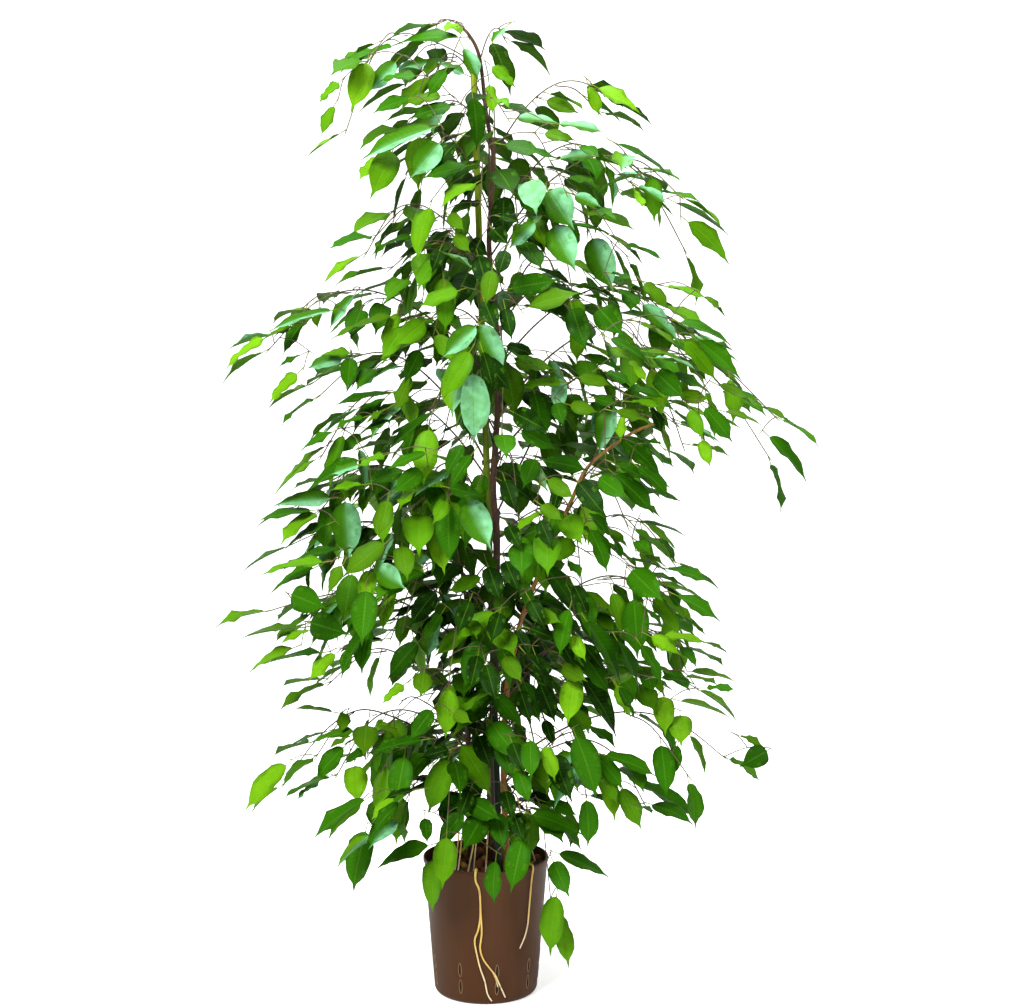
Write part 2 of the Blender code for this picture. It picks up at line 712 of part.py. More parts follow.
def leaf_on(root, ahead, hand, rng, squeeze):
    """A leaf at a node: it leaves its twig on one side, or goes on from its tip where hand
    is nearly 0, and sweeps outwards and down."""
    outward = Vector((root.x, root.y, 0.0))
    outward = outward.normalized() if outward.length > 0.02 else Vector((0, -1, 0))
    level = Vector((ahead.x, ahead.y, 0.0))
    level = level.normalized() if level.length > 0.05 else outward
    spread = math.radians(rng.uniform(*LEAF_SPREAD)) * hand
    aim = Matrix.Rotation(spread, 3, "Z") @ level + 0.35 * outward
    aim.z = 0.0
    aim.normalize()
    front = min(1.0, max(0.0, -root.y / FRONT_DEPTH))
    share = HANGING_SHARE[0] + (HANGING_SHARE[1] - HANGING_SHARE[0]) * front
    hangs = rng.random() < share
    pitch = math.radians(rng.uniform(*(HANGING_PITCH if hangs else LEAF_PITCH)))
    forward = math.cos(pitch) * aim + math.sin(pitch) * UP
    facing = 0.9 * UP + 0.7 * aim
    normal = (facing - facing.dot(forward) * forward).normalized()
    normal = Matrix.Rotation(math.radians(rng.uniform(*LEAF_ROLL)), 3, forward) @ normal
    blade = rng.uniform(*BLADE_LENGTH) * squeeze
    return Leaf(root, forward, normal, blade + PETIOLE, blade * rng.uniform(*BLADE_WIDTH),
                math.radians(rng.uniform(*BLADE_BEND)), math.radians(rng.uniform(*BLADE_FOLD)),
                rng.uniform(*BLADE_WAVE))


def try_leaf(thicket, owner, root, ahead, hand, seed):
    """The first of several draws of a leaf that touches nothing, or None."""
    rng = Random(seed)
    for attempt in range(TRIES):
        leaf = leaf_on(root, ahead, hand, rng, 1.0 - 0.012 * attempt)
        shell = leaf_shell(leaf, 0.5 * PETIOLE)
        if min(p.z for p in shell[0]) > LOWEST_LEAF and thicket.clear(shell):
            thicket.add(leaf_shell(leaf, 0.2 * PETIOLE), owner)
            return leaf
    return None


def plant_thicket():
    """A thicket with the pot, the fill, the cane, the stems and the roots in it."""
    thicket = Thicket()
    pot = [Vector((0, 0, 0.002)), Vector((0, 0, 0.100)), Vector((0, 0, POT_HEIGHT))]
    thicket.add(rod_shell(pot, [BASE_RADIUS, 0.5 * (BASE_RADIUS + RIM_RADIUS), RIM_RADIUS]), "pot")
    thicket.add(rod_shell([CANE_FOOT, CANE_TOP], [CANE_RADIUS] * 2), "cane")
    for name, stem in STEMS.items():
        route = smooth_route(stem.route, STEM_STEP)
        thicket.add(rod_shell(route, radii_along(route, stem.foot_radius, stem.top_radius)), name)
    for owner, height, foot in AERIAL_ROOTS:
        route = aerial_root(owner, height, foot)
        thicket.add(rod_shell(route, [AERIAL_RADIUS] * len(route)), owner)
    for name in HANGING_ROOTS:
        thicket.add(rod_shell(*hanging_route(name)), name)
    thicket.add(rod_shell(*fork_route()), "fork")
    return thicket


def grow_axes(thicket):
    """The branches' axes, each turned a little until it clears what has grown."""
    axes = []
    for index, spray in enumerate(SPRAYS):
        off_stem = stem_at(spray.stem, spray.height)[1] + 3 * GAP
        for turn in AXIS_TURNS:
            route, radii = spray_axis(spray, turn)
            if thicket.clear(rod_shell(route, radii, off_stem), but=(spray.stem,)):
                thicket.add(rod_shell(route, radii, off_stem), branch_name(index))
                axes.append((route, radii))
                break
        else:
            axes.append(None)
    return axes


def branch_name(index):
    """The node name of a branch."""
    return f"branch_{index + 1:02d}"


def grow_shoots(thicket, spray, axis, owner):
    """The side shoot of a longer branch."""
    if spray.reach < SHOOT_REACH:
        return []
    rng = Random(f"shoots {owner}")
    hand = rng.choice((-1, 1))
    for _ in range(TRIES):
        length = spray.reach * rng.uniform(*SHOOT_LENGTH)
        spread = math.radians(rng.uniform(*SHOOT_SPREAD))
        route = shoot_route(axis[0], rng.uniform(*SHOOT_START), hand, spread, length)
        radii = radii_along(route, 1.15 * TIP_RADIUS, TIP_RADIUS)
        if thicket.clear(rod_shell(route, radii, 5 * TIP_RADIUS), but=(owner,)):
            thicket.add(rod_shell(route, radii), owner)
            return [(route, radii)]
        hand = -hand
    return []


def grow_leaves(thicket, spray, axis, shoots, owner):
    """The leaves of one branch: one at each tip, then others along the outer part."""
    leaves = []
    for n, (route, _) in enumerate([axis, *shoots]):
        tip, ahead = route[-1], (route[-1] - route[-2]).normalized()
        leaves.append(try_leaf(thicket, owner, tip - 0.003 * ahead, ahead, 0.2, f"{owner} tip {n}"))
    count = round(FEWEST_LEAVES + LEAVES_PER_METRE * spray.reach)
    for i in range(count):
        u = LEAF_START + LEAF_SPAN * (i + 0.5) / count
        root, ahead = point_on(axis[0], u)
        hand = 1 if i % 2 else -1
        leaves.append(try_leaf(thicket, owner, root, ahead, hand, f"{owner} axis {i}"))
    for n, (route, _) in enumerate(shoots):
        root, ahead = point_on(route, 0.6)
        leaves.append(try_leaf(thicket, owner, root, ahead, 1 if n else -1, f"{owner} shoot {n}"))
    return [leaf for leaf in leaves if leaf]


def leaf_solid(leaf):
    """A blade with its stalk: a fan of eight drawn out to the outline, then thickened."""
    form = bmesh.new()
    ring = leaf_outline(leaf)
    bmesh.ops.create_circle(form, cap_ends=True, cap_tris=True, segments=len(ring), radius=1.0)
    for vert in form.verts:
        if vert.co.length < 0.5:
            vert.co = leaf_point(leaf, BEND_START, 0.0)
        else:
            turn = math.atan2(vert.co.y, vert.co.x) / (2 * math.pi)
            vert.co = ring[round(turn * len(ring)) % len(ring)]
    thick = BLADE_THICKNESS * leaf.normal
    bmesh.ops.translate(form, verts=form.verts, vec=-0.5 * thick)
    raised = bmesh.ops.extrude_face_region(form, geom=form.faces, use_keep_orig=True)
    lifted = [part for part in raised["geom"] if isinstance(part, bmesh.types.BMVert)]
    bmesh.ops.translate(form, verts=lifted, vec=thick)
    bmesh.ops.recalc_face_normals(form, faces=form.faces)
    mesh = bpy.data.meshes.new("leaf")
    form.to_mesh(mesh)
    form.free()
    return bpy.data.objects.new("leaf", mesh)


def fuse_branch(name, axis, shoots, leaves, room, group):
    """One solid of a branch's axis, shoots and leaves, cut clear of its stem. Where faces
    that nearly coincide leave it unclosed, it is made again with the pieces nudged."""
    for nudge in range(NUDGES):
        wood = link(tube(name, *axis, 4), group, "leaf")
        pieces = new_collection(name + "_pieces")
        for route, radii in shoots:
            link(tube("shoot", route, radii, 4), pieces)
        for leaf in leaves:
            link(leaf_solid(leaf), pieces)
        for piece in pieces.objects:
            piece.data.transform(Matrix.Translation(nudge * NUDGE))
        join(wood, pieces, "UNION", "MANIFOLD")
        remove_with_objects(pieces)
        join(wood, room, "DIFFERENCE", "MANIFOLD")
        if drop_flat_points(wood):
            return
        bpy.data.objects.remove(wood)
    print("unclosed", name)


def make_branches(group, rooms):
    """Every branch, grown among the others so that none crosses another."""
    thicket = plant_thicket()
    axes = grow_axes(thicket)
    shoots = [grow_shoots(thicket, spray, axis, branch_name(index)) if axis else []
              for index, (spray, axis) in enumerate(zip(SPRAYS, axes))]
    total = 0
    for index, (spray, axis) in enumerate(zip(SPRAYS, axes)):
        name = branch_name(index)
        if axis is None:
            print("no room for", name)
            continue
        leaves = grow_leaves(thicket, spray, axis, shoots[index], name)
        total += len(leaves)
        fuse_branch(name, axis, shoots[index], leaves, rooms[spray.stem], group)
    print(total, "leaves")


def main():
    """Builds the plant from the pot up."""
    clear_scene()
    group = new_collection("potted_weeping_fig")
    cutters = new_collection("cutters")
    make_pot(group)
    make_cane(group, cutters)
    rooms = make_stems(group, cutters)
    make_hanging_roots(group, cutters)
    make_granules(group, cutters)
    make_branches(group, rooms)
    for obj in group.objects:
        obj.data.shade_smooth()
        obj.data.set_sharp_from_angle(angle=math.radians(40))


main()
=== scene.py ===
"""Potted weeping fig: the finished surfaces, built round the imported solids.

The plant is regrown here by the rules that its solids follow, so that each branch keeps
the form of the node that it replaces. The shoots and leaves that the solids leave out then
grow between them. Metres, +Z up, the origin under the pot, and -Y is the front.
"""

import logging
import math
from dataclasses import dataclass, replace
from enum import Enum
from functools import partial, reduce
from random import Random
from typing import Any, Iterable, Sequence

import bmesh
import bpy
from mathutils import Matrix, Vector
from mathutils.bvhtree import BVHTree


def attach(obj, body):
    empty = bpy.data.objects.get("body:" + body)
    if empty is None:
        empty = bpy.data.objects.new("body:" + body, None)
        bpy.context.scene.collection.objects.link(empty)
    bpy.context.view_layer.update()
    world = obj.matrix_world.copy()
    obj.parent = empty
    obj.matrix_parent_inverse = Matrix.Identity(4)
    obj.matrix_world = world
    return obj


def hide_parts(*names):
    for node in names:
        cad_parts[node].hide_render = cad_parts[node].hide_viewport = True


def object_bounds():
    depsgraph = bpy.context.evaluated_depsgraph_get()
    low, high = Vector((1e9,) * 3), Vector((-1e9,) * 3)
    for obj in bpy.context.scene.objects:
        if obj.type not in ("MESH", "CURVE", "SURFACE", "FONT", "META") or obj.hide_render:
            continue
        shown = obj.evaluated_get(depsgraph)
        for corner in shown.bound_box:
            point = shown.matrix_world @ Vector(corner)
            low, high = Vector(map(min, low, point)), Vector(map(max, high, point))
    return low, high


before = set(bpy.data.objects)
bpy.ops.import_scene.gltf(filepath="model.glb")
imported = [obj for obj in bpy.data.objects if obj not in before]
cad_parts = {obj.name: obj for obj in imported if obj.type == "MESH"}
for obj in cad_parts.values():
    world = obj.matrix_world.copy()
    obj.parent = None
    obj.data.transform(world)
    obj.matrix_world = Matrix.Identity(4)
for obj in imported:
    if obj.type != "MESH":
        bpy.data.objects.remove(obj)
CAD_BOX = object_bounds()
LOG = logging.getLogger("weeping_fig")

Route = list[Vector]
Shell = tuple[list[Vector], list[tuple[int, ...]]]
Colour = tuple[float, float, float]
Pair = tuple[float, float]
Socket = bpy.types.NodeSocket

UP = Vector((0.0, 0.0, 1.0))
ROOT_BODY = "root"


class Slot(Enum):
    """The record's material slots."""

    POT = "pot"
    GRANULE = "granule"
    CANE = "cane"
    BARK = "bark"
    ROOT = "root"
    LEAF = "leaf"


class StemName(Enum):
    """The three stems."""

    MAIN = "main"
    RIGHT = "right"
    LEFT = "left"


MAIN, RIGHT, LEFT = StemName


@dataclass(frozen=True)
class Stem:
    """A stem: its radius at the foot and the top, and points up its centre line."""

    foot_radius: float
    top_radius: float
    route: tuple[tuple[float, float, float], ...]


@dataclass(frozen=True)
class Spray:
    """A branch: its stem, the height it leaves at, its bearing in degrees (0 is +X and 90
    the back), how far out its last leaf reaches, how high it arches and how far its end
    drops again."""

    stem: StemName
    height: float
    azimuth: float
    reach: float
    rise: float
    droop: float


@dataclass(frozen=True)
class Leaf:
    """A leaf where it has grown: angles in radians, the length with its stalk. A leaf that
    was placed from the list has a shade."""

    root: Vector
    forward: Vector
    normal: Vector
    length: float
    width: float
    bend: float
    fold: float
    wave: float
    shade: int | None = None


@dataclass(frozen=True)
class Twig:
    """A piece of wood or root: points on its centre line and its radius at each."""

    route: Route
    radii: list[float]

    def heading(self) -> Vector:
        """Which way its tip points."""
        return (self.route[-1] - self.route[-2]).normalized()


@dataclass
class Branch:
    """A branch as grown: its axis comes first among its twigs."""

    name: str
    spray: Spray
    twigs: list[Twig]
    leaves: list[Leaf]


@dataclass(frozen=True)
class PotForm:
    """The pot's driving sizes, as its solid has them."""

    height: float = 0.200
    rim_radius: float = 0.0905
    base_radius: float = 0.0738
    wall: float = 0.0018
    floor: float = 0.0025
    lip_height: float = 0.006
    lip_depth: float = 0.0006
    fill_level: float = 0.186

    def inner_radius(self, height: float) -> float:
        """The inside radius at a height."""
        top = self.rim_radius - self.lip_depth
        return self.base_radius + (top - self.base_radius) * height / self.height - self.wall

    def outer_radius(self, height: float) -> float:
        """The outside radius below the lip."""
        return self.inner_radius(height) + self.wall


POT = PotForm()


@dataclass(frozen=True)
class Sight:
    """The photograph's camera, which also places what is read off the picture."""

    place: tuple[float, float, float] = (0.038, -3.2, 1.1)
    pitch: float = 6.92
    lens: float = 79.8
    sensor: float = 36.0
    size: Pair = (1024.0, 1008.0)

    def axes(self) -> tuple[Vector, Vector, float]:
        """The camera's way ahead, its upright, and its focal length in pixels."""
        tilt = math.radians(self.pitch)
        ahead = Vector((0.0, math.cos(tilt), -math.sin(tilt)))
        upright = Vector((0.0, math.sin(tilt), math.cos(tilt)))
        return ahead, upright, self.lens / self.sensor * self.size[0]

    def point(self, x: float, y: float, depth: float) -> Vector:
        """The point that a pixel shows in the upright plane at a depth."""
        ahead, upright, focal = self.axes()
        ray = ahead + (0.5 * self.size[1] - y) / focal * upright
        ray.x = (x - 0.5 * self.size[0]) / focal
        return Vector(self.place) + ray * ((depth - self.place[1]) / ray.y)

    def pixel(self, point: Vector) -> Pair:
        """The pixel that shows a point."""
        ahead, upright, focal = self.axes()
        way = point - Vector(self.place)
        deep = way.dot(ahead)
        return (0.5 * self.size[0] + focal * way.x / deep,
                0.5 * self.size[1] - focal * way.dot(upright) / deep)


SIGHT = Sight()

STEMS = {
    MAIN: Stem(0.0070, 0.0020, (
        (0.008, 0.010, 0.110), (0.008, 0.010, 0.200), (0.008, 0.006, 0.330),
        (0.012, 0.008, 0.430), (0.016, 0.010, 0.670), (0.011, 0.008, 0.730),
        (0.018, 0.008, 0.860), (0.016, 0.008, 0.960), (0.006, 0.006, 1.070),
        (0.012, 0.006, 1.200), (0.002, 0.006, 1.260), (-0.007, 0.006, 1.335),
        (-0.022, 0.004, 1.367), (-0.040, 0.001, 1.384),
    )),
    RIGHT: Stem(0.0055, 0.0018, (
        (0.030, -0.022, 0.120), (0.030, -0.022, 0.200), (0.026, -0.020, 0.330),
        (0.030, -0.024, 0.440), (0.054, -0.034, 0.560), (0.084, -0.040, 0.636),
        (0.122, -0.046, 0.724), (0.146, -0.050, 0.772), (0.201, -0.052, 0.815),
        (0.240, -0.054, 0.832),
    )),
    LEFT: Stem(0.0050, 0.0018, (
        (-0.022, 0.016, 0.120), (-0.022, 0.016, 0.200), (-0.026, 0.028, 0.350),
        (-0.020, 0.042, 0.480), (-0.034, 0.060, 0.600), (-0.052, 0.084, 0.720),
    )),
}

CANE = Twig([Vector((0.0250, -0.0570, 0.060)), Vector((-0.0155, -0.0140, 1.335))], [0.0045] * 2)

SPRAYS = tuple(Spray(*row) for row in (
    (MAIN, 1.322, 186, 0.240, 0.046, 0.135), (MAIN, 1.332, 12, 0.070, 0.045, 0.015),
    (MAIN, 1.382, 172, 0.070, 0.006, 0.030), (MAIN, 1.270, 208, 0.130, 0.070, 0.030),
    (MAIN, 1.240, -80, 0.110, 0.050, 0.110), (MAIN, 1.205, 158, 0.165, 0.075, 0.050),
    (MAIN, 1.200, 5, 0.215, 0.105, 0.025), (MAIN, 1.160, 92, 0.180, 0.090, 0.080),
    (MAIN, 1.120, 174, 0.170, 0.115, 0.055), (MAIN, 1.095, 28, 0.260, 0.125, 0.065),
    (MAIN, 1.060, -5, 0.325, 0.140, 0.130), (MAIN, 1.075, -60, 0.150, 0.100, 0.090),
    (MAIN, 1.025, -46, 0.210, 0.110, 0.120), (MAIN, 1.015, 187, 0.230, 0.120, 0.070),
    (MAIN, 0.985, -140, 0.220, 0.100, 0.090), (MAIN, 0.973, 122, 0.260, 0.120, 0.100),
    (MAIN, 0.940, 58, 0.260, 0.120, 0.100), (MAIN, 0.905, 4, 0.320, 0.115, 0.075),
    (MAIN, 0.880, 180, 0.375, 0.135, 0.085), (MAIN, 0.858, -88, 0.240, 0.110, 0.140),
    (MAIN, 0.835, -15, 0.350, 0.140, 0.090), (MAIN, 0.800, 98, 0.300, 0.130, 0.110),
    (MAIN, 0.777, 0, 0.442, 0.155, 0.155), (MAIN, 0.750, 171, 0.315, 0.175, 0.045),
    (MAIN, 0.735, 196, 0.300, 0.140, 0.090), (MAIN, 0.692, 50, 0.320, 0.140, 0.120),
    (MAIN, 0.660, -110, 0.260, 0.120, 0.130), (MAIN, 0.635, 182, 0.330, 0.130, 0.055),
    (RIGHT, 0.805, -8, 0.140, 0.065, 0.070), (RIGHT, 0.690, -22, 0.150, 0.060, 0.060),
    (RIGHT, 0.625, -72, 0.220, 0.110, 0.110), (RIGHT, 0.600, 8, 0.250, 0.100, 0.070),
    (RIGHT, 0.510, -8, 0.280, 0.105, 0.060), (LEFT, 0.620, 118, 0.280, 0.120, 0.100),
    (MAIN, 0.555, 177, 0.345, 0.130, 0.035), (MAIN, 0.485, 204, 0.300, 0.125, 0.060),
    (MAIN, 0.500, -98, 0.250, 0.100, 0.110), (MAIN, 0.450, 183, 0.370, 0.135, 0.025),
    (RIGHT, 0.435, 13, 0.310, 0.110, 0.045), (MAIN, 0.400, 62, 0.290, 0.110, 0.100),
    (RIGHT, 0.390, -3, 0.320, 0.100, 0.035), (LEFT, 0.400, 160, 0.280, 0.090, 0.055),
    (MAIN, 0.335, 205, 0.290, 0.090, 0.085), (LEFT, 0.310, 182, 0.320, 0.100, 0.110),
    (RIGHT, 0.335, -4, 0.365, 0.085, 0.065), (RIGHT, 0.310, -26, 0.270, 0.075, 0.080),
    (MAIN, 0.320, -114, 0.200, 0.060, 0.110), (LEFT, 0.285, 120, 0.230, 0.080, 0.080),
    (MAIN, 0.270, 212, 0.245, 0.060, 0.070), (RIGHT, 0.255, -48, 0.150, 0.045, 0.150),
))


# Leaves placed one by one: the pixel of the base, that of the tip, the width seen, and the shade.
PLACED = (
    (474, 374, 475, 446, 30, 7), (480, 325, 504, 376, 26, 5), (475, 326, 441, 358, 20, 5),
    (469, 352, 443, 399, 24, 3), (572, 307, 586, 350, 24, 1), (598, 307, 622, 334, 28, 1),
    (512, 288, 560, 279, 22, 1), (530, 305, 581, 291, 18, 6), (592, 238, 613, 292, 30, 5),
    (553, 225, 575, 270, 30, 5), (548, 190, 573, 228, 33, 5), (530, 178, 536, 212, 28, 7),
    (612, 407, 597, 456, 20, 5), (623, 414, 620, 441, 10, 4), (560, 378, 558, 413, 17, 7),
    (560, 381, 518, 386, 11, 3), (622, 436, 665, 479, 18, 1), (513, 412, 547, 430, 22, 0),
    (522, 430, 557, 450, 18, 1), (437, 529, 444, 571, 23, 4), (418, 512, 419, 551, 32, 3),
    (447, 500, 434, 522, 16, 3), (466, 500, 490, 548, 30, 5), (452, 502, 465, 540, 14, 3),
    (521, 541, 522, 573, 27, 2), (575, 541, 547, 560, 20, 3), (566, 514, 580, 541, 25, 3),
    (345, 502, 349, 562, 30, 5), (370, 570, 363, 607, 19, 4), (377, 568, 404, 588, 24, 5),
    (366, 590, 362, 641, 27, 2), (434, 860, 431, 913, 21, 3), (494, 862, 493, 905, 17, 2),
    (522, 839, 512, 887, 25, 2), (553, 861, 567, 892, 20, 2), (555, 897, 549, 957, 24, 3),
    (560, 852, 612, 877, 13, 2), (427, 843, 374, 867, 15, 2), (425, 818, 427, 840, 13, 1),
    (447, 760, 427, 815, 26, 3), (463, 746, 493, 797, 24, 3), (553, 754, 570, 797, 25, 0),
    (578, 737, 598, 800, 28, 2), (634, 600, 638, 660, 27, 2), (630, 570, 660, 598, 28, 2),
    (364, 832, 352, 893, 27, 2), (355, 764, 357, 799, 24, 4), (404, 757, 396, 803, 24, 2),
    (284, 764, 242, 811, 20, 4), (663, 695, 665, 730, 22, 4), (680, 714, 681, 742, 24, 4),
    (677, 746, 672, 778, 14, 2), (456, 23, 444, 31, 8, 4), (452, 25, 462, 34, 8, 4),
    (458, 34, 392, 42, 10, 2), (391, 44, 349, 62, 8, 2), (367, 62, 351, 112, 25, 4),
    (338, 82, 318, 103, 9, 3), (333, 106, 320, 137, 11, 3), (395, 62, 367, 93, 18, 5),
    (465, 72, 420, 57, 7, 5), (445, 60, 398, 67, 8, 5), (415, 74, 378, 80, 8, 2),
    (445, 70, 427, 97, 14, 2), (440, 95, 403, 103, 12, 6), (450, 105, 407, 118, 14, 1),
    (408, 97, 370, 113, 12, 2), (430, 125, 358, 158, 16, 5), (393, 150, 371, 197, 28, 3),
    (375, 157, 358, 181, 10, 4), (440, 142, 410, 178, 25, 5), (455, 142, 430, 172, 14, 0),
    (465, 165, 420, 178, 14, 2), (465, 48, 480, 82, 14, 5), (475, 98, 478, 152, 18, 1),
    (490, 85, 493, 115, 12, 4), (493, 66, 517, 88, 12, 3), (495, 97, 510, 107, 8, 3),
    (515, 15, 537, 43, 10, 4), (505, 26, 490, 44, 6, 5), (547, 100, 580, 113, 14, 6),
    (590, 87, 600, 117, 13, 4), (600, 86, 643, 113, 12, 4), (605, 92, 624, 107, 9, 1),
    (518, 117, 560, 122, 10, 5), (560, 122, 608, 132, 9, 5), (545, 133, 577, 140, 11, 6),
    (505, 143, 560, 158, 12, 1), (620, 141, 676, 178, 4, 1), (560, 157, 600, 155, 10, 5),
    (640, 185, 670, 205, 8, 5), (636, 190, 643, 208, 8, 4), (575, 195, 602, 207, 12, 5),
    (690, 220, 732, 264, 17, 3), (678, 200, 735, 237, 4, 1), (597, 208, 618, 220, 8, 2),
    (628, 243, 666, 260, 4, 1), (330, 308, 264, 331, 8, 5), (293, 325, 258, 341, 5, 6),
    (262, 337, 223, 369, 9, 4), (301, 322, 281, 356, 11, 1), (300, 354, 276, 368, 4, 2),
    (296, 373, 268, 403, 12, 4), (318, 307, 317, 328, 9, 4), (352, 294, 327, 330, 11, 5),
    (390, 314, 328, 338, 7, 6), (342, 356, 306, 368, 15, 5), (350, 352, 320, 354, 8, 3),
    (350, 357, 347, 389, 18, 2), (386, 391, 330, 405, 7, 1), (410, 377, 395, 413, 14, 6),
    (362, 416, 333, 428, 6, 2), (331, 431, 297, 452, 7, 2), (323, 445, 287, 477, 4, 6),
    (390, 419, 356, 434, 6, 1), (386, 408, 362, 426, 4, 6), (360, 434, 340, 453, 12, 2),
    (357, 458, 304, 490, 14, 1), (358, 464, 330, 474, 10, 5), (384, 454, 358, 466, 8, 3),
    (430, 412, 383, 453, 9, 1), (425, 452, 385, 469, 10, 2), (422, 470, 394, 492, 20, 2),
    (402, 470, 362, 484, 14, 1), (361, 483, 328, 490, 7, 3), (330, 496, 272, 504, 16, 5),
    (310, 508, 254, 520, 8, 2), (402, 328, 381, 360, 18, 3), (425, 321, 396, 345, 22, 3),
    (420, 350, 405, 382, 18, 1), (457, 290, 418, 306, 16, 3), (556, 402, 563, 424, 16, 1),
    (483, 358, 512, 392, 20, 0), (507, 345, 536, 355, 12, 0), (515, 362, 555, 368, 14, 6),
    (580, 377, 612, 385, 14, 6), (595, 398, 616, 404, 12, 1), (570, 405, 598, 412, 14, 6),
    (462, 445, 444, 478, 16, 1), (470, 455, 448, 490, 14, 1), (545, 460, 590, 470, 18, 1),
    (535, 458, 524, 486, 20, 2), (612, 272, 632, 279, 4, 1), (620, 290, 642, 306, 9, 1),
    (668, 285, 712, 299, 6, 3), (705, 295, 729, 319, 3, 6), (645, 283, 670, 309, 14, 6),
    (644, 304, 682, 344, 15, 5), (682, 319, 736, 345, 8, 2), (641, 322, 681, 346, 4, 6),
    (686, 341, 718, 381, 18, 3), (700, 339, 744, 380, 16, 2), (647, 350, 685, 359, 5, 6),
    (612, 337, 650, 362, 10, 1), (612, 346, 630, 360, 12, 6), (630, 360, 647, 382, 9, 4),
    (607, 371, 632, 384, 10, 1), (655, 372, 683, 397, 24, 1), (630, 387, 665, 397, 10, 1),
    (632, 400, 665, 407, 7, 3), (671, 371, 717, 396, 7, 1), (680, 395, 711, 399, 14, 4),
    (690, 410, 703, 438, 15, 3), (706, 408, 734, 443, 18, 2), (702, 440, 710, 466, 14, 4),
    (720, 383, 764, 410, 6, 6), (762, 405, 796, 425, 3, 6), (726, 410, 765, 425, 5, 6),
    (772, 435, 810, 482, 12, 2), (652, 407, 664, 435, 10, 0), (615, 410, 657, 424, 8, 6),
    (616, 462, 660, 486, 10, 1), (643, 442, 662, 443, 4, 1), (325, 522, 282, 548, 7, 1),
    (340, 547, 289, 560, 7, 1), (322, 559, 258, 573, 9, 3), (312, 566, 268, 592, 9, 2),
    (383, 543, 341, 577, 22, 6), (341, 566, 327, 595, 12, 6), (290, 594, 326, 608, 27, 2),
    (308, 622, 348, 634, 28, 1), (295, 625, 236, 637, 4, 6), (308, 629, 276, 645, 6, 4),
    (291, 646, 246, 672, 9, 4), (320, 650, 262, 662, 4, 1), (334, 654, 307, 681, 14, 4),
    (361, 632, 338, 680, 13, 1), (416, 643, 386, 680, 20, 1), (435, 591, 408, 628, 20, 0),
    (424, 672, 421, 694, 20, 6), (403, 684, 382, 703, 10, 4), (388, 500, 379, 535, 18, 6),
    (402, 545, 407, 577, 22, 6), (480, 577, 446, 592, 14, 3), (493, 612, 455, 640, 17, 3),
    (470, 628, 432, 657, 15, 3), (440, 614, 424, 642, 12, 1), (450, 487, 486, 498, 14, 1),
    (505, 308, 512, 340, 16, 0), (448, 214, 464, 230, 14, 6), (520, 196, 545, 214, 16, 2),
    (470, 240, 488, 256, 16, 0), (455, 234, 470, 252, 15, 6), (492, 228, 508, 244, 18, 0),
    (500, 215, 520, 222, 10, 0), (484, 352, 494, 392, 16, 0), (440, 250, 432, 272, 14, 0),
    (580, 145, 600, 156, 10, 2), (566, 684, 584, 706, 14, 1), (478, 255, 488, 290, 20, 0),
    (492, 270, 486, 305, 18, 6), (484, 300, 496, 330, 20, 0), (488, 566, 500, 600, 20, 0),
    (505, 560, 518, 590, 18, 0), (478, 655, 470, 690, 18, 0), (486, 664, 496, 700, 20, 0),
    (505, 655, 520, 680, 18, 6), (478, 735, 490, 765, 20, 0), (500, 740, 512, 775, 20, 1),
    (520, 690, 530, 720, 18, 0), (536, 655, 548, 690, 16, 0), (560, 640, 575, 668, 14, 0),
    (575, 585, 590, 620, 14, 0), (545, 720, 553, 745, 12, 0), (512, 742, 524, 772, 18, 0),
    (530, 600, 545, 628, 16, 0), (470, 600, 458, 632, 18, 0), (500, 612, 492, 640, 18, 0),
    (515, 630, 530, 655, 16, 0), (470, 790, 460, 816, 16, 0), (505, 790, 512, 816, 16, 0),
    (540, 520, 552, 548, 16, 0), (505, 480, 516, 512, 18, 0), (534, 222, 508, 249, 16, 5),
    (506, 250, 498, 276, 16, 0), (548, 480, 574, 498, 16, 6), (508, 525, 520, 548, 16, 0),
    (560, 485, 552, 515, 14, 0), (460, 446, 452, 480, 16, 1), (541, 505, 562, 520, 14, 6),
    (598, 477, 626, 497, 20, 2), (578, 482, 605, 515, 22, 0), (617, 474, 656, 514, 20, 1),
    (640, 466, 672, 498, 14, 1), (592, 530, 609, 574, 16, 2), (590, 512, 615, 540, 8, 1),
    (612, 535, 624, 562, 6, 1), (570, 560, 580, 577, 10, 2), (548, 565, 590, 632, 18, 1),
    (573, 592, 598, 650, 14, 1), (590, 620, 625, 685, 16, 1), (501, 641, 512, 690, 16, 2),
    (481, 640, 463, 690, 24, 1), (522, 582, 533, 612, 14, 2), (535, 612, 560, 622, 16, 6),
    (530, 628, 557, 640, 12, 0), (568, 610, 558, 658, 18, 2), (572, 635, 585, 660, 14, 4),
    (605, 527, 628, 545, 7, 6), (636, 540, 649, 552, 13, 2), (645, 553, 668, 568, 4, 6),
    (668, 566, 718, 584, 9, 2), (648, 523, 680, 552, 6, 6), (660, 581, 706, 598, 5, 6),
    (664, 583, 684, 612, 8, 1), (679, 594, 724, 622, 13, 2), (648, 608, 663, 628, 5, 1),
    (655, 598, 682, 642, 16, 3), (652, 636, 682, 655, 13, 4), (665, 634, 708, 642, 9, 4),
    (706, 641, 729, 653, 3, 6), (682, 646, 696, 665, 10, 2), (643, 645, 664, 686, 12, 2),
    (692, 669, 740, 681, 6, 6), (662, 676, 696, 683, 6, 1), (707, 687, 738, 689, 7, 2),
    (682, 698, 735, 717, 4, 6), (620, 640, 642, 692, 9, 1), (585, 645, 605, 672, 14, 0),
    (617, 686, 632, 718, 14, 4), (620, 687, 637, 722, 8, 1), (332, 710, 290, 707, 4, 6),
